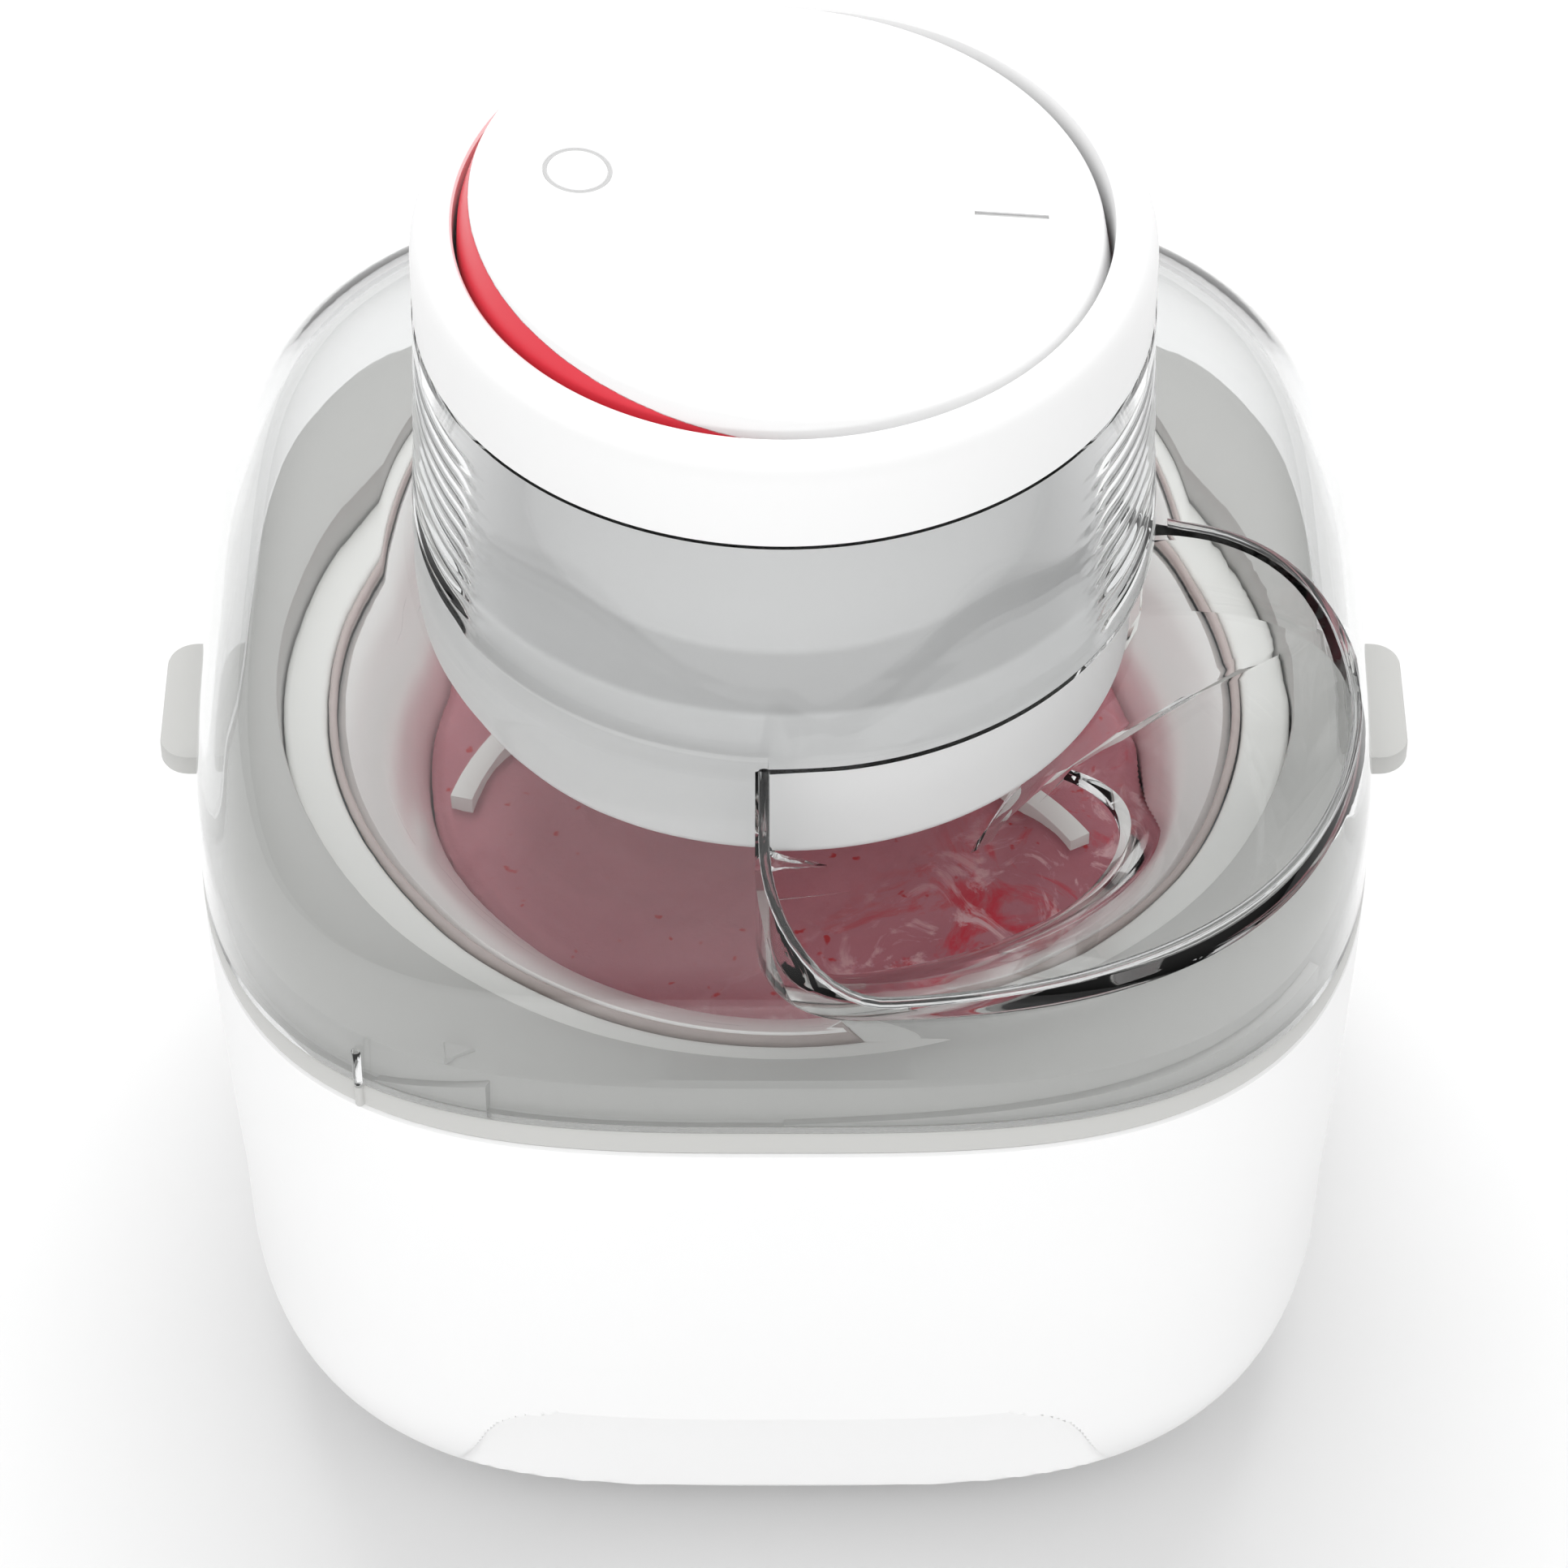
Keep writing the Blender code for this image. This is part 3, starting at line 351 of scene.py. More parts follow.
def settled(obj):
    """Applies obj's modifiers."""
    bpy.context.view_layer.update()
    graph = bpy.context.evaluated_depsgraph_get()
    mesh = bpy.data.meshes.new_from_object(obj.evaluated_get(graph))
    obj.modifiers.clear()
    obj.data = mesh
    return obj


def combined(target, tool, operation, solver="EXACT"):
    """Joins tool to target or cuts it away, and removes tool."""
    cut = target.modifiers.new("combine", "BOOLEAN")
    cut.operation = operation
    cut.object = tool
    cut.solver = solver
    settled(target)
    bpy.data.objects.remove(tool)
    return target


def softened(obj, width, segments=3, angle=radians(40)):
    bevel = obj.modifiers.new("soften", "BEVEL")
    bevel.width = width
    bevel.segments = segments
    bevel.limit_method = "ANGLE"
    bevel.angle_limit = angle
    bevel.harden_normals = False
    settled(obj)
    obj.data.shade_smooth()
    obj.data.set_sharp_from_angle(angle=SMOOTH_ANGLE)
    return obj


def resmoothed(obj, angle=SMOOTH_ANGLE):
    obj.data.shade_smooth()
    obj.data.set_sharp_from_angle(angle=angle)
    return obj


def norm_radius(angle, half_x, half_y, power):
    c, s = cos(angle), sin(angle)
    return (abs(c / half_x) ** power + abs(s / half_y) ** power) ** (-1 / power)


def even_angles(count=ROUND):
    return [tau * i / count for i in range(count)]


def square_ring(inset, z, power=SQUARENESS, angles=None, half_x=HALF_X, half_y=HALF_Y):
    ring = []
    for angle in angles or even_angles():
        r = norm_radius(angle, half_x - inset, half_y - inset, power)
        ring.append((r * cos(angle), r * sin(angle), z))
    return ring


def circle_ring(radius, z, angles=None):
    return [(radius * cos(a), radius * sin(a), z) for a in angles or even_angles()]


def rounded_profile(points, radius, segments=4):
    """A closed (r, z) profile with its corners rounded by up to radius."""
    out = []
    count = len(points)
    for i in range(count):
        before, here, after = (Vector(points[(i + k) % count]) for k in (-1, 0, 1))
        first, second = before - here, after - here
        reach = min(radius, first.length * 0.45, second.length * 0.45)
        if reach < 0.02 * MM or here.x < 1e-9:
            out.append(tuple(here))
            continue
        start, end = here + first.normalized() * reach, here + second.normalized() * reach
        for k in range(segments + 1):
            t = k / segments
            out.append(tuple(start * (1 - t) ** 2 + here * 2 * t * (1 - t) + end * t ** 2))
    return out


def smooth_steps(steps, per_span=5):
    """Catmull-Rom through rows of numbers."""
    rows = [Vector(row) for row in steps]
    out = []
    for i in range(len(rows) - 1):
        p0, p1, p2 = rows[max(i - 1, 0)], rows[i], rows[i + 1]
        p3 = rows[min(i + 2, len(rows) - 1)]
        for k in range(per_span):
            t = k / per_span
            out.append(0.5 * (2 * p1 + (p2 - p0) * t + (2 * p0 - 5 * p1 + 4 * p2 - p3) * t * t
                              + (3 * p1 - p0 - 3 * p2 + p3) * t ** 3))
    out.append(rows[-1])
    return [tuple(row) for row in out]


def eased(value, low, high):
    t = min(1.0, max(0.0, (value - low) / (high - low)))
    return t * t * (3 - 2 * t)


def shown(obj, body, slot, *nodes):
    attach(obj, body)
    if nodes:
        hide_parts(*nodes)
    return obj


# ---- Base

RECESS_TOP = 45.0 * MM
RECESS_HALF_TOP = 49.0 * MM
RECESS_HALF_BOTTOM = 73.0 * MM
RECESS_WALL = -94.0 * MM
RECESS_EDGE = 1.6 * MM


def recess_depth(x, z):
    """0 outside the arched recess and 1 inside it, with a soft edge."""
    share = min(1.0, max(0.0, (z - BASE_BOTTOM) / (RECESS_TOP - BASE_BOTTOM)))
    lean = acos(1 - 2 * share) / pi
    half = RECESS_HALF_BOTTOM + (RECESS_HALF_TOP - RECESS_HALF_BOTTOM) * lean
    side = half - abs(x)
    crown = RECESS_TOP - z
    corner = 7 * MM
    if side < corner and crown < corner and share > 0.6:
        inside = corner - hypot(corner - side, corner - crown)
    else:
        inside = min(side * 0.75, crown)
    return eased(inside, -RECESS_EDGE, RECESS_EDGE)


def front_angles():
    """Angles round the base, closer together across the front."""
    fine, coarse = 300, 150
    first, last = radians(-90 - 46), radians(-90 + 46)
    across = [first + (last - first) * i / fine for i in range(fine)]
    return across + [last + (tau - (last - first)) * i / coarse for i in range(coarse)]


def base_levels():
    """(inset, height) of the base's outline, from its top rim down to its bottom."""
    levels = []
    for k in range(13):
        share = k / 12
        levels.append((BASE_KNEE_INSET * share ** 1.5, BASE_TOP + (BASE_KNEE + 10 * MM - BASE_TOP) * share))
    levels[-1] = (BASE_KNEE_INSET * 0.93, BASE_KNEE + 10 * MM)
    for k in range(1, 11):
        levels.append((BASE_KNEE_INSET * (0.93 + 0.007 * k), BASE_KNEE + (10 - k) * MM))
    depth = BASE_KNEE - BASE_BOTTOM
    for k in range(1, 41):
        angle = pi / 2 * k / 40
        levels.append((BASE_KNEE_INSET + BASE_UNDERCUT * (1 - cos(angle)), BASE_KNEE - depth * sin(angle)))
    return levels


def base_rows(offset):
    angles = front_angles()
    rows = []
    for inset, z in base_levels():
        low = max(z, BASE_BOTTOM + offset)
        row = []
        for x, y, _ in square_ring(inset + offset, low, SQUARENESS, angles):
            if y < 0:
                wall = RECESS_WALL + offset - 3.5 * MM * eased(low, 30 * MM, 4 * MM)
                y += (max(y, wall) - y) * recess_depth(x, low)
            row.append((x, y, low))
        rows.append(row)
    return rows


def make_base(looks):
    outside, inside = base_rows(0), base_rows(BASE_WALL)
    centre = front_angles()
    rim_out = [(x * 0.9955, y * 0.9955, z) for x, y, z in outside[0]]
    top = [(x, y, z - 0.5 * MM) for x, y, z in outside[0]]
    rows = [rim_out, top] + outside[1:] + [circle_ring(0.5 * MM, BASE_BOTTOM, centre),
                                           circle_ring(0.5 * MM, BASE_BOTTOM + BASE_WALL, centre)]
    rows += [row for row in reversed(inside) if row is not inside[0]] + [inside[0]]
    shell = new_object("base_shell_form", lofted(rows, closed=True), looks["white_shell"])
    shown(shell, "base", "white_plastic", "base_shell")


# ---- Freezer bowl and collar

def make_collar(looks):
    ridge = 4.3 * MM
    steps = [(0.5 * MM, COLLAR_LOW), (0.1 * MM, COLLAR_LOW + 0.3 * MM), (0, COLLAR_LOW + 0.9 * MM),
             (0, COLLAR_FLANGE - 0.9 * MM), (0.3 * MM, COLLAR_FLANGE - 0.3 * MM), (0.9 * MM, COLLAR_FLANGE),
             (ridge - 0.4 * MM, COLLAR_FLANGE), (ridge, COLLAR_FLANGE + 0.4 * MM),
             (ridge + 0.3 * MM, COLLAR_TOP - 1.6 * MM), (ridge + 0.8 * MM, COLLAR_TOP - 0.6 * MM),
             (ridge + 2.2 * MM, COLLAR_TOP)]
    rings = [circle_ring(COLLAR_HOLE, COLLAR_LOW)]
    rings += [square_ring(inset, z) for inset, z in steps]
    rings += [circle_ring(COLLAR_HOLE + out * MM, COLLAR_TOP - down * MM)
              for out, down in ((1.1, 1.3), (0.3, 1.6), (0, 2.3))]
    collar = new_object("collar_ring", lofted(rings, closed=True), looks["grey_plastic"])
    for sign in (-1, 1):
        reach, half, corner = 121 * MM, 16 * MM, 5.5 * MM
        outline = [(104.5 * MM, -half)]
        for start, side in ((-90, -1), (0, 1)):
            for k in range(9):
                turn = radians(start + 90 * k / 8)
                outline.append((reach - corner + corner * cos(turn),
                                side * (half - corner) + corner * sin(turn)))
        outline.append((104.5 * MM, half))
        low, high, soft = COLLAR_LOW + 0.4 * MM, COLLAR_FLANGE - 0.3 * MM, 0.8 * MM

        def shrunk(amount):
            return [(sign * min(x, max(104.5 * MM, x - amount)), y * (1 - amount / half)) for x, y in outline]

        levels = ((soft, low), (0.25 * soft, low + 0.3 * soft), (0, low + soft), (0, high - soft),
                  (0.25 * soft, high - 0.3 * soft), (soft, high))
        ear = new_object("ear", lofted([at_height(shrunk(inset), z) for inset, z in levels]))
        combined(collar, ear, "UNION")
    resmoothed(collar)
    shown(collar, "bowl", "grey_plastic", "bowl_collar")
    add_collar_marks(looks)


def add_collar_marks(looks):
    """Raised triangle, alignment rib and the two ramps that the lid's lugs lock under."""
    bm = bmesh.new()
    mark = [(-62 * MM, -96.8 * MM), (-56 * MM, -98.8 * MM), (-61.5 * MM, -102.2 * MM)]
    low = [bm.verts.new((x, y, COLLAR_TOP - 0.3 * MM)) for x, y in mark]
    centre = Vector((sum(x for x, _ in mark) / 3, sum(y for _, y in mark) / 3))
    high = [bm.verts.new((*(centre + (Vector(p) - centre) * 0.82), COLLAR_TOP + 0.55 * MM)) for p in mark]
    bm.faces.new(low)
    bm.faces.new(high)
    for i in range(3):
        bm.faces.new((low[i], low[(i + 1) % 3], high[(i + 1) % 3], high[i]))
    shown(new_object("collar_mark", bm, looks["grey_plastic"]), "bowl", "grey_plastic")
    angle = atan2(-97, -75)
    edge = norm_radius(angle, HALF_X, HALF_Y, SQUARENESS)
    rib = rib_form("collar_rib", angle, edge - 1.2 * MM, edge + 1.1 * MM, COLLAR_LOW + 0.4 * MM,
                   COLLAR_FLANGE - 0.3 * MM, 1.7 * MM, looks["grey_plastic"])
    shown(rib, "bowl", "grey_plastic")
    for name, first, last in (("lock_ramp_right", -90, -38), ("lock_ramp_left", -127, -117)):
        shown(ramp_form(name, radians(first), radians(last), looks["grey_plastic"]), "bowl", "grey_plastic")


def rib_form(name, angle, near, far, low, high, width, look):
    """A small upright rib that sticks out along a direction, with a rounded nose."""
    along = Vector((cos(angle), sin(angle)))
    across = Vector((-along.y, along.x)) * width / 2
    outline = [along * near - across]
    nose = far - width / 2
    for k in range(9):
        turn = -pi / 2 + pi * k / 8
        outline.append(along * (nose + width / 2 * cos(turn)) + across * sin(turn))
    outline.append(along * near + across)
    flat = [tuple(p) for p in outline]
    centre = along * (near + far) / 2
    small = [tuple(centre + (p - centre) * 0.9) for p in outline]
    soft = 0.3 * MM
    return new_object(name, lofted([at_height(small, low), at_height(flat, low + soft),
                                    at_height(flat, high - soft), at_height(small, high)]), look)


def ramp_form(name, first, last, look):
    """A ramp on the collar's ridge that rises from nothing along the rim."""
    rings = []
    count = 40
    for k in range(count + 1):
        share = k / count
        angle = first + (last - first) * share
        rise = COLLAR_FLANGE + 0.25 * MM + 6.2 * MM * share
        inner = norm_radius(angle, HALF_X - 5.2 * MM, HALF_Y - 5.2 * MM, SQUARENESS)
        outer = norm_radius(angle, HALF_X - 3.1 * MM, HALF_Y - 3.1 * MM, SQUARENESS)
        c, s = cos(angle), sin(angle)
        foot = COLLAR_FLANGE - 0.1 * MM
        rings.append([(inner * c, inner * s, foot), (outer * c, outer * s, foot),
                      (outer * c, outer * s, rise), (inner * c, inner * s, rise + 0.3 * MM)])
    return new_object(name, lofted(rings), look)


def bowl_inner_profile():
    floor, corner, inner = 24.0 * MM, 9.0 * MM, 70.0 * MM
    points = [(0, floor)]
    for k in range(7):
        turn = pi / 2 * k / 6
        points.append((inner - 1 * MM - corner + corner * sin(turn), floor + corner - corner * cos(turn)))
    flare = [(70.0, 110), (70.3, 114), (71.5, 118), (73.2, 121.6), (75.6, 125), (78.4, 128.0), (81.6, 130.6),
             (84.3, 132.2), (85.8, 133)]
    return points + [(r * MM, z * MM) for r, z in flare]


def make_bowl(looks):
    inner = bowl_inner_profile()
    under = [(r + 1.6 * MM, z - 1.4 * MM) for r, z in inner[1:]]
    liner = turned(inner + list(reversed([(0, 22 * MM)] + under)))
    shown(new_object("liner_form", liner, looks["aluminium"]), "bowl", "aluminium", "bowl_liner")

    outline = [(0, 9), (74, 9), (81, 12), (84, 19), (86.5, 52), (94.5, 122), (98.6, 127), (98.9, 134),
               (89.5, 134),
               (89.5, 129), (91.5, 120), (84, 54), (81.5, 21), (79, 15), (73, 11.5), (0, 11.5)]
    shell = rounded_profile([(r * MM, z * MM) for r, z in outline], 1.6 * MM)
    outer = new_object("outer_wall_form", turned(shell), looks["pale_plastic"])
    hole = new_object("hole", turned([(0, 0), (6 * MM, 0), (6 * MM, 20 * MM), (0, 20 * MM)], 32))
    hole.location.x = 45 * MM
    resmoothed(combined(outer, hole, "DIFFERENCE"))
    shown(outer, "bowl", "pale_plastic", "bowl_outer_shell")

    seal = [(87.55, 132), (89.1, 132), (89.2, 134.2), (88.35, 134.8), (87.5, 134.2)]
    ring = rounded_profile([(r * MM, z * MM) for r, z in seal], 0.6 * MM)
    shown(new_object("seal_form", turned(ring), looks["seal"]), "bowl", "seal", "bowl_rim_seal")


def make_cream(bowl):
    """The frozen dessert in the bowl. It is contents, not a piece of the object."""
    rings, around = 90, 240
    bm = bmesh.new()
    rows = []
    for k in range(1, rings + 1):
        r = CREAM_RADIUS * k / rings
        row = []
        for i in range(around):
            a = tau * i / around
            x, y = r * cos(a), r * sin(a)
            swirl = a + 9 * (r / CREAM_RADIUS)
            churn = noise.fractal(Vector((x / 0.03, y / 0.03, 1.7)), 0.9, 2.1, 5)
            furrow = sin(3 * swirl + 2 * noise.noise(Vector((x / 0.02, y / 0.02, 4.0))))
            rough = noise.fractal(Vector((x / 0.006, y / 0.006, 8.3)), 0.8, 2.2, 4)
            z = CREAM_TOP + (1.0 * churn + 0.5 * furrow + 0.28 * rough) * MM
            z -= 2.2 * MM * eased(r, CREAM_RADIUS - 3 * MM, CREAM_RADIUS)
            row.append(bm.verts.new((x, y, z)))
        rows.append(row)
    hub = bm.verts.new((0, 0, CREAM_TOP))
    skirt = [bm.verts.new((v.co.x, v.co.y, CREAM_TOP - 12 * MM)) for v in rows[-1]]
    rows.append(skirt)
    for i in range(around):
        j = (i + 1) % around
        bm.faces.new((hub, rows[0][i], rows[0][j]))
        for low, high in zip(rows, rows[1:]):
            bm.faces.new((low[i], high[i], high[j], low[j]))
    bm.faces.new(skirt)
    cream = new_object("cream_surface", bm, cream_material(), sharp=radians(80))
    cream.parent = bowl


# ---- Paddle

BLADES = ((172, 53, 192, 64.5), (-4, 36, -22, 62))  # angle and radius in mm, at the arm and at the tip
BLADE_STEPS = 18
BLADE_HALF = 2.2 * MM


def make_paddle(looks):
    hub = turned(rounded_profile([(0, 92 * MM), (10 * MM, 92 * MM), (12 * MM, 94 * MM), (12 * MM, 147 * MM),
                                  (11 * MM, 148 * MM), (8.6 * MM, 148 * MM), (8.2 * MM, 124 * MM),
                                  (0, 124 * MM)],
                                 0.6 * MM), 64)
    form = new_object("paddle_form", hub, looks["pale_plastic"])
    low, high = 30 * MM, 119 * MM
    for start, near_radius, end, far_radius in BLADES:
        path = []
        for k in range(BLADE_STEPS + 1):
            share = k / BLADE_STEPS
            radius = (near_radius + (far_radius - near_radius) * share) * MM
            angle = radians(start + (end - start) * share)
            path.append(Vector((radius * cos(angle), radius * sin(angle))))
        near, far = [], []
        for k, here in enumerate(path):
            along = (path[min(k + 1, BLADE_STEPS)] - path[max(k - 1, 0)]).normalized()
            across = Vector((-along.y, along.x)) * BLADE_HALF
            near.append(tuple(here - across))
            far.append(tuple(here + across))
        outline = near + list(reversed(far))
        blade = new_object("blade", lofted([at_height(outline, low), at_height(outline, high)]))
        combined(form, blade, "UNION")
        for bottom, top in ((94, 104), (30, 36)):
            c, s = cos(radians(start)), sin(radians(start))
            box = [(x * c - y * s, x * s + y * c) for x, y in
                   ((0, -3.5 * MM), ((near_radius + 1) * MM, -3.5 * MM), ((near_radius + 1) * MM, 3.5 * MM),
                    (0, 3.5 * MM))]
            arm = new_object("arm", lofted([at_height(box, bottom * MM), at_height(box, top * MM)]))
            combined(form, arm, "UNION")
    post = turned([(0, 28 * MM), (6 * MM, 28 * MM), (6 * MM, 94 * MM), (0, 94 * MM)], 48)
    combined(form, new_object("post", post), "UNION")
    softened(form, 0.5 * MM, 2)
    shown(form, "paddle", "pale_plastic", "mixing_paddle")


# ---- Lid

OUTER_STEPS = smooth_steps([(0, 134.3, 3.2), (0.3, 148, 3.2), (2, 160, 3.2), (5.5, 169, 3.1), (11, 176, 3.0),
                            (19, 181.2, 2.8), (29, 184.8, 2.5), (37, 186.4, 2.25)], 5)
INNER_STEPS = smooth_steps([(2.5, 134.3, 3.2), (2.9, 147, 3.2), (4.7, 158, 3.2), (8, 166.6, 3.1),
                            (13.2, 173.5, 3.0),
                            (20.6, 178.5, 2.8), (30, 182, 2.5), (38, 183.6, 2.25)], 4)


GRIP_LOW = 188.0 * MM
GRIP_HIGH = 232.0 * MM
GRIP_PITCH = 4.4 * MM
GRIP_DEPTH = 0.95 * MM


def neck_radius(z):
    """Outside radius of the neck, which narrows upwards."""
    share = (z - NECK_FOOT) / (NECK_TOP - NECK_FOOT)
    return (70.4 - 1.5 * min(1, share * 3) * 0.35 - 1.7 * share) * MM


def grip(angle, z):
    """Depth of the grip's grooves, on the neck's two sides."""
    turn = min(abs(atan2(sin(angle), cos(angle))), abs(atan2(sin(angle - pi), cos(angle - pi))))
    window = 1 - eased(turn, radians(30), radians(37))
    if not GRIP_LOW < z < GRIP_HIGH:
        return 0.0
    wave = 0.5 - 0.5 * cos(tau * (z - GRIP_LOW) / GRIP_PITCH)
    return -GRIP_DEPTH * window * wave ** 0.6


def lid_rings(trim=0.0, ribs=True):
    rings = [square_ring(inset * MM + trim, z * MM - trim, power) for inset, z, power in OUTER_STEPS]
    rings.append(circle_ring(72.6 * MM - trim, 187.2 * MM - trim))
    rows = 100 if ribs else 6
    for k in range(rows + 1):
        z = NECK_FOOT + (NECK_TOP - NECK_FOOT) * k / rows
        ring = []
        for angle in even_angles():
            r = neck_radius(z) + (grip(angle, z) if ribs else 0) - trim
            ring.append((r * cos(angle), r * sin(angle), z - trim))
        rings.append(ring)
    return rings


def lid_inner_rings():
    rings = [square_ring(inset * MM, z * MM, power) for inset, z, power in INNER_STEPS]
    for r, z in ((68.4, 184.1), (67.2, 185.2), (66.9, 187), (66.9, 237.7)):
        rings.append(circle_ring(r * MM, z * MM))
    return rings


def dome_height(x, y):
    """Height of the lid's outer face over a point of the plan."""
    best = OUTER_STEPS[0][1] * MM
    previous = None
    for inset, z, power in OUTER_STEPS + [(41, 187.6, 2.05)]:
        across, along = abs(x / (HALF_X - inset * MM)), abs(y / (HALF_Y - inset * MM))
        value = (across ** power + along ** power) ** (1 / power)
        if value >= 1:
            if previous is None:
                return best
            (v0, z0) = previous
            return (z0 + (z - z0) * (1 - v0) / (value - v0)) * MM
        previous = (value, z)
        best = z * MM
    return best


def softer_max(a, b, reach):
    gap = max(reach - abs(a - b), 0) / reach
    return max(a, b) + gap * gap * reach / 4


def region_outline(outside, count, centre):
    """The closed loop round the centre where outside(x, y) changes sign, resampled unless count is None."""
    cx, cy = centre
    fine = []
    for i in range(720):
        c, s = cos(tau * i / 720), sin(tau * i / 720)
        near, far = 0.0, 160 * MM
        for _ in range(30):
            middle = (near + far) / 2
            if outside(cx + middle * c, cy + middle * s) > 0:
                far = middle
            else:
                near = middle
        fine.append(Vector((cx + near * c, cy + near * s)))
    return fine if count is None else resampled(fine, count)


def chute_outline(inset, left, back, inner, count=120):
    """Plan of the chute: a quarter of the rim's plan outside a radius, with its two outer corners rounded."""
    half_x, half_y, power = HALF_X - inset, HALF_Y - inset, 2.9

    def outside(x, y):
        rim = ((abs(x / half_x) ** power + abs(y / half_y) ** power) ** (1 / power) - 1) * half_x
        corners = softer_max(rim, left - x, 22 * MM), softer_max(rim, y - back, 34 * MM)
        return max(*corners, inner - hypot(x, y))

    return region_outline(outside, count, CHUTE_CENTRE)


def mouth_outline(grow):
    """Plan of the funnel's lower mouth: round towards the rim, with a wide curve to its back edge."""
    def outside(x, y):
        rim = hypot(x, y) - 84 * MM - grow
        left = CHUTE_LEFT - grow - x
        back = y + 24 * MM - grow
        return max(softer_max(rim, left, 14 * MM), softer_max(rim, back, 50 * MM), 60 * MM - hypot(x, y))

    return region_outline(outside, None, MOUTH_CENTRE)


def resampled(loop, count):
    """A closed loop with its points spread evenly along it."""
    lengths = [0.0]
    for i in range(len(loop)):
        lengths.append(lengths[-1] + (loop[(i + 1) % len(loop)] - loop[i]).length)
    out, k = [], 0
    for i in range(count):
        target = lengths[-1] * i / count
        while lengths[k + 1] < target:
            k += 1
        share = (target - lengths[k]) / max(1e-12, lengths[k + 1] - lengths[k])
        out.append(tuple(loop[k].lerp(loop[(k + 1) % len(loop)], share)))
    return out


FUNNEL_RISE = 21.0 * MM        # from the mouth to where the slope becomes an upright wall


def funnel_rings(outline, mouth, drop, top):
    """Rings of the chute's funnel from its mouth up: a slope that rounds into an upright wall."""
    rings = [at_height(mouth, MOUTH_HEIGHT - drop)]
    slope = ((0.06, 0.16), (0.2, 0.34), (0.4, 0.52), (0.6, 0.68), (0.78, 0.82), (0.9, 0.92), (1.0, 1.06))
    for out, rise in slope:
        blend = [(mx + (x - mx) * out, my + (y - my) * out) for (mx, my), (x, y) in zip(mouth, outline)]
        rings.append(at_height(blend, MOUTH_HEIGHT - drop + FUNNEL_RISE * rise))
    rings.append(at_height(outline, top))
    return rings


def make_lid(looks):
    lid = new_object("lid_form", lofted(lid_rings() + list(reversed(lid_inner_rings())), closed=True),
                     looks["clear_plastic"])
    void = chute_outline(CHUTE_INSET, CHUTE_LEFT, CHUTE_BACK, 70.2 * MM)
    wall = chute_outline(CHUTE_INSET - CHUTE_SKIN, CHUTE_LEFT - CHUTE_SKIN, CHUTE_BACK + CHUTE_SKIN,
                         68.2 * MM, None)
    hollow = chute_outline(CHUTE_INSET, CHUTE_LEFT, CHUTE_BACK, 62 * MM, None)
    loops = (wall, hollow, mouth_outline(CHUTE_SKIN), mouth_outline(0))
    wall, hollow, wide, narrow = (loop[::4] for loop in loops)
    funnel = new_object("funnel", lofted(funnel_rings(wall, wide, CHUTE_SKIN, 186.6 * MM)))
    limit = new_object("limit", lofted(lid_rings(0.4 * MM, False)))
    combined(funnel, limit, "INTERSECT")
    inside = funnel_rings(hollow, narrow, 0, 238 * MM)
    inside.insert(0, [(x, y, 136 * MM) for x, y, z in inside[0]])
    combined(funnel, new_object("inside", lofted(inside)), "DIFFERENCE")
    opening = new_object("opening", lofted([at_height(void, 140 * MM), at_height(void, 218 * MM)]))
    combined(lid, opening, "DIFFERENCE")
    combined(lid, funnel, "UNION")
    resmoothed(lid, radians(28))
    shown(lid, "lid", "clear_plastic", "lid")
    add_chute_lip(looks, void)
    angle = atan2(-97, -75)
    edge = norm_radius(angle, HALF_X, HALF_Y, SQUARENESS)
    rib = rib_form("lid_rib", angle, edge + 0.05 * MM, edge + 1.3 * MM, LID_BOTTOM + 0.3 * MM,
                   LID_BOTTOM + 9 * MM,
                   1.7 * MM, looks["clear_plastic"])
    shown(rib, "lid", "clear_plastic")


def add_chute_lip(looks, outline):
    """A rounded bead along the chute's opening, on the dome."""
    path = [Vector((x, y)) for x, y in outline if hypot(x, y) > 71.5 * MM]
    start = max(range(len(path)), key=lambda i: (path[i] - path[i - 1]).length)
    path = path[start:] + path[:start]
    rings = []
    for i, here in enumerate(path):
        ahead = path[min(i + 1, len(path) - 1)] - path[max(i - 1, 0)]
        ahead.normalize()
        out = Vector((ahead.y, -ahead.x))
        middle = here + out * 0.6 * MM
        z = dome_height(middle.x, middle.y) + 0.3 * MM
        ring = []
        for k in range(12):
            a = tau * k / 12
            spot = middle + out * 1.0 * MM * cos(a)
            ring.append((spot.x, spot.y, z + 0.6 * MM * sin(a)))
        rings.append(ring)
    shown(new_object("chute_lip", lofted(rings), looks["clear_plastic"]), "lid", "clear_plastic")


# ---- Motor head

def make_head(looks):
    cap = [(68.0, 238.3), (68.0, 250.4), (67.75, 252.4), (67.1, 254.2), (66.0, 255.7), (64.6, 256.7),
           (63.0, 257.0), (61.4, 256.95), (60.5, 256.7), (60.1, 256.25), (60.0, 255.6), (60.0, 244),
           (61.5, 244), (61.5, 251.5), (65.4, 251.5), (65.4, 238.3)]
    shown(new_object("cap_form", turned([(r * MM, z * MM) for r, z in cap]), looks["white_plastic"]),
          "head", "white_plastic", "head_cap")
    drum = [(6.5, 157.6), (63.8, 157.6), (66.3, 159.6), (66.3, 196), (50, 196), (50, 238.7), (48, 238.7),
            (48, 194),
            (64.3, 194), (64.3, 159.6), (6.5, 159.6)]
    profile = rounded_profile([(r * MM, z * MM) for r, z in drum], 1.3 * MM, 4)
    drum = new_object("drum_form", turned(profile), looks["white_plastic"])
    shown(drum, "head", "white_plastic", "motor_housing")


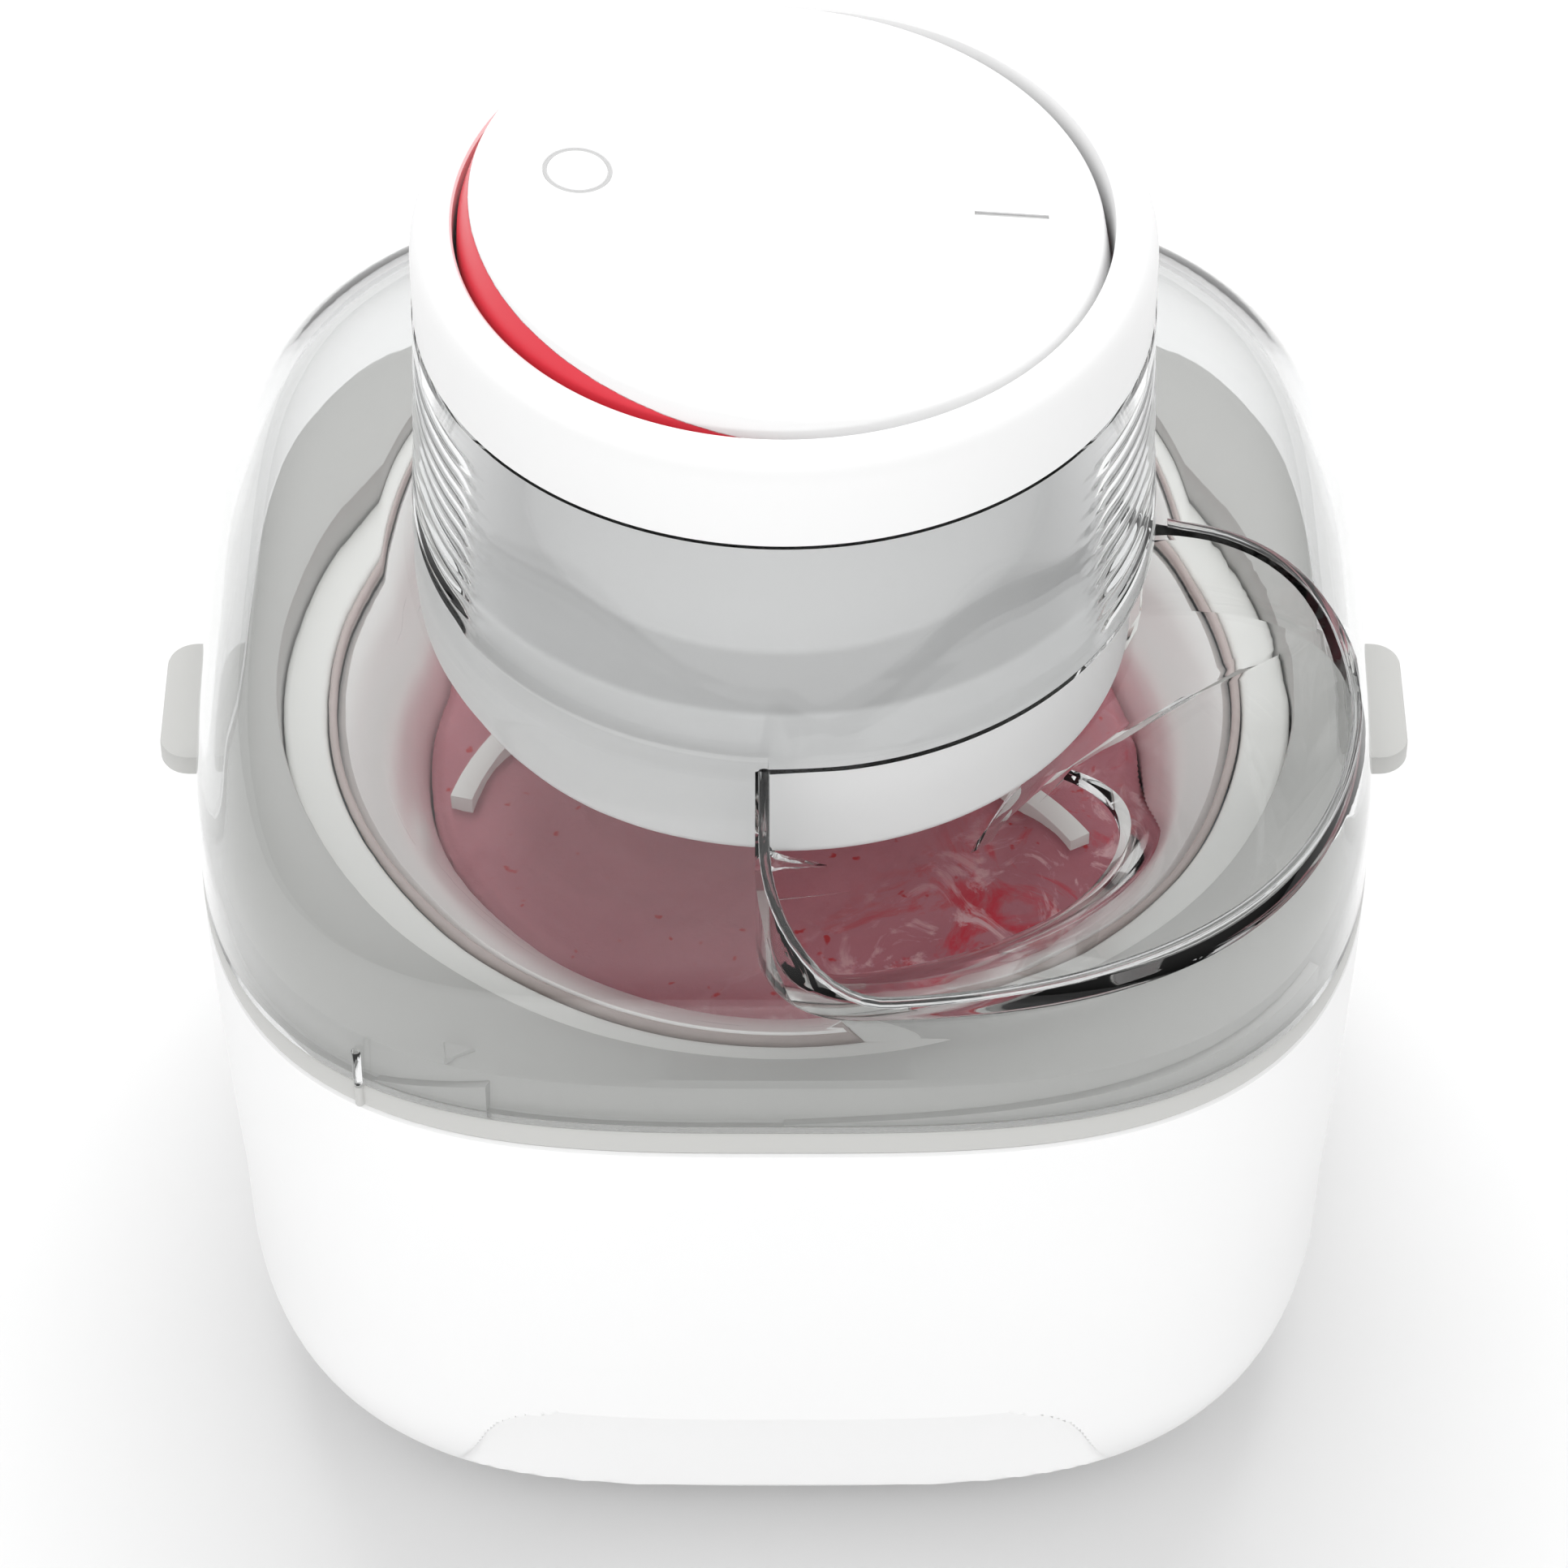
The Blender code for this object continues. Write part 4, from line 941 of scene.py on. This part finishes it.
def tilted(obj):
    """Puts a piece made round its pivot at the origin in its place, with the rocker pressed on."""
    obj.data.transform(Matrix.Translation((0, 0, ROCKER_PIVOT)) @ Matrix.Rotation(ROCKER_TILT, 4, "Y"))
    return obj


def below_edge(gap):
    """Everything round the rocker's rim below the slanted edge where its white meets its red."""
    inner, outer, foot = BAND_INNER - gap, 66 * MM, -8 * MM
    low = [circle_ring(radius, foot) for radius in (inner, outer)]
    high = [[(x, y, BAND_EDGE - BAND_SLOPE * x - gap) for x, y, _ in circle_ring(radius, 0)]
            for radius in (outer, inner)]
    rows = low + high
    return new_object("below_edge", lofted(rows, closed=True))


def rocker_side():
    """(r, z) of the rocker's side in mm, from the face down to the foot of its red band."""
    return [(55.2, 9.5), (56.0, 9.44), (56.7, 9.2), (57.3, 8.8), (57.7, 8.25), (57.95, 7.6), (58.15, 6.8),
            (58.6, 5.0), (59.2, 2.6), (59.4, 1.6), (59.4, -2)]


def make_rocker(looks):
    side = [(r * MM, z * MM) for r, z in rocker_side()]
    profile = [(0, ROCKER_FACE)] + side
    profile += [(BAND_INNER, -2 * MM), (BAND_INNER, ROCKER_UNDER), (0, ROCKER_UNDER)]
    disc = new_object("rocker_form", turned(profile), looks["white_plastic"])
    combined(disc, below_edge(0.05 * MM), "DIFFERENCE")
    for y in (-45 * MM, 45 * MM):
        lug = [(sx * 4 * MM, y + sy * 2.5 * MM) for sx, sy in CORNERS]
        combined(disc, new_object("lug", lofted([at_height(lug, -4 * MM), at_height(lug, 8 * MM)])), "UNION")
    bore_radius, bore_half = 2.3 * MM, 60 * MM
    bore = new_object("bore", turned([(0, -bore_half), (bore_radius, -bore_half), (bore_radius, bore_half),
                                      (0, bore_half)], 24))
    bore.rotation_euler.x = pi / 2
    combined(disc, bore, "DIFFERENCE")
    off_mark_place = (-38.2 * MM, 5.6 * MM, 0)
    low, high = ROCKER_FACE - 0.35 * MM, ROCKER_FACE + 0.3 * MM
    groove = turned([(5.6 * MM, low), (6.3 * MM, low), (6.6 * MM, high), (5.3 * MM, high)], 72)
    ring = new_object("ring", groove)
    ring.location = off_mark_place
    combined(disc, ring, "DIFFERENCE")
    bar_x, bar_y = 40.6 * MM, 0.4 * MM
    slot = [(bar_x + sx * 6.75 * MM, bar_y + sy * 0.6 * MM) for sx, sy in CORNERS]
    bar = new_object("bar", lofted([at_height(slot, ROCKER_FACE - 0.6 * MM), at_height(slot, high)]))
    combined(disc, bar, "DIFFERENCE")
    resmoothed(disc)
    shown(tilted(disc), "rocker", "white_plastic", "rocker_disc")
    # Thin grey inlays in the bottoms of the O and | grooves: painted shade, darkening the grooves where shade
    # falls.
    foot, top = low + 0.02 * MM, low + 0.12 * MM
    groove_shade_form = turned([(5.65 * MM, foot), (6.25 * MM, foot), (6.25 * MM, top), (5.65 * MM, top)], 72)
    bmesh.ops.translate(groove_shade_form, verts=groove_shade_form.verts, vec=off_mark_place)
    shown(tilted(new_object("off_groove_shade", groove_shade_form, looks["groove_shade_grey"])), "rocker", "white_plastic")
    line = [(bar_x + (x - bar_x) * 0.98, bar_y + (y - bar_y) * 0.8) for x, y in slot]
    foot = ROCKER_FACE - 0.58 * MM
    groove_shade_form = lofted([at_height(line, foot), at_height(line, foot + 0.15 * MM)])
    shown(tilted(new_object("on_groove_shade", groove_shade_form, looks["groove_shade_grey"])), "rocker", "white_plastic")
    inner = BAND_INNER + 0.1 * MM
    form = turned(side + [(inner, -2 * MM), (inner, ROCKER_FACE)])
    band = new_object("band_form", form, looks["red_plastic"])
    combined(band, below_edge(-0.1 * MM), "INTERSECT")
    resmoothed(band)
    shown(tilted(band), "rocker", "red_plastic", "rocker_red_band")


# ---- Stage

CAMERA_PLACE = (0, -0.8455, 0.9678)
CAMERA_DROP = radians(45.409)  # how far below the horizon it looks
CAMERA_LENS = 139.75           # in mm, on a 36 mm sensor
WORLD_STRENGTH = 0.94


def make_floor():
    bm = bmesh.new()
    half = 14.0
    bm.faces.new([bm.verts.new((sx * half, sy * half, 0)) for sx, sy in CORNERS])
    made, tree, shader = shader_tree("floor")
    where = coordinates(tree)
    tree.links.new(mixed(tree, noise_value(tree, where, 3.0), (0.80, 0.80, 0.80), (0.81, 0.81, 0.81)),
                   shader.inputs["Base Color"])
    shader.inputs["Roughness"].default_value = 0.9
    floor = new_object("floor", bm, made)


def add_lamp(name, place, target, size, power):
    """A soft lamp that lights surfaces but doesn't show as a patch in the lid or the metal."""
    light = bpy.data.lights.new(name, "AREA")
    light.shape = "RECTANGLE"
    light.size, light.size_y = size
    light.energy = power
    lamp = bpy.data.objects.new(name, light)
    lamp.visible_glossy = False
    lamp.visible_transmission = False
    bpy.context.scene.collection.objects.link(lamp)
    lamp.location = place
    lamp.rotation_euler = (Vector(target) - Vector(place)).to_track_quat("-Z", "Y").to_euler()


def make_world():
    """Pale from well above the horizon and dim below it, which gives the clear lid its darker edges."""
    world = bpy.data.worlds.new("studio")
    bpy.context.scene.world = world
    world.use_nodes = True
    tree = world.node_tree
    where = tree.nodes.new("ShaderNodeTexCoord").outputs["Generated"]
    split = tree.nodes.new("ShaderNodeSeparateXYZ")
    tree.links.new(where, split.inputs[0])
    ramp = tree.nodes.new("ShaderNodeValToRGB")
    stops = ramp.color_ramp.elements
    stops[0].position, stops[0].color = 0.0, (0.16, 0.16, 0.16, 1)
    stops[1].position, stops[1].color = 0.40, (1, 1, 1, 1)
    tree.links.new(split.outputs["Z"], ramp.inputs["Fac"])
    background = tree.nodes["Background"]
    tree.links.new(ramp.outputs["Color"], background.inputs["Color"])
    background.inputs["Strength"].default_value = WORLD_STRENGTH


def make_camera():
    data = bpy.data.cameras.new("camera")
    data.lens = CAMERA_LENS
    data.sensor_width = 36.0
    data.clip_end = 20.0
    camera = bpy.data.objects.new("camera", data)
    bpy.context.scene.collection.objects.link(camera)
    camera.location = CAMERA_PLACE
    camera.rotation_euler = (radians(90) - CAMERA_DROP, 0, 0)
    bpy.context.scene.camera = camera


def repaint(looks):
    """Gives each CAD node the detailed finish of its material slot."""
    slots = {part["node"]: part["material_slot"] for part in frame["record"]["subparts"]}
    for node, obj in frame["nodes"].items():
        obj.data.materials.clear()
        obj.data.materials.append(looks[slots[node]])


def build():
    looks = make_materials()
    repaint(looks)
    make_base(looks)
    make_collar(looks)
    make_bowl(looks)
    make_cream(frame["bodies"]["bowl"])
    make_paddle(looks)
    make_lid(looks)
    make_head(looks)
    make_rocker(looks)
    make_floor()
    make_world()
    add_lamp("top_light", (0.0, 0.75, 1.5), (0, 0, 0.05), (1.2, 0.7), 14)
    add_lamp("front_light", (-0.2, -1.9, 0.45), (0, 0, 0.1), (1.6, 0.4), 10)
    make_camera()
    bpy.context.scene.view_settings.view_transform = "Standard"


build()
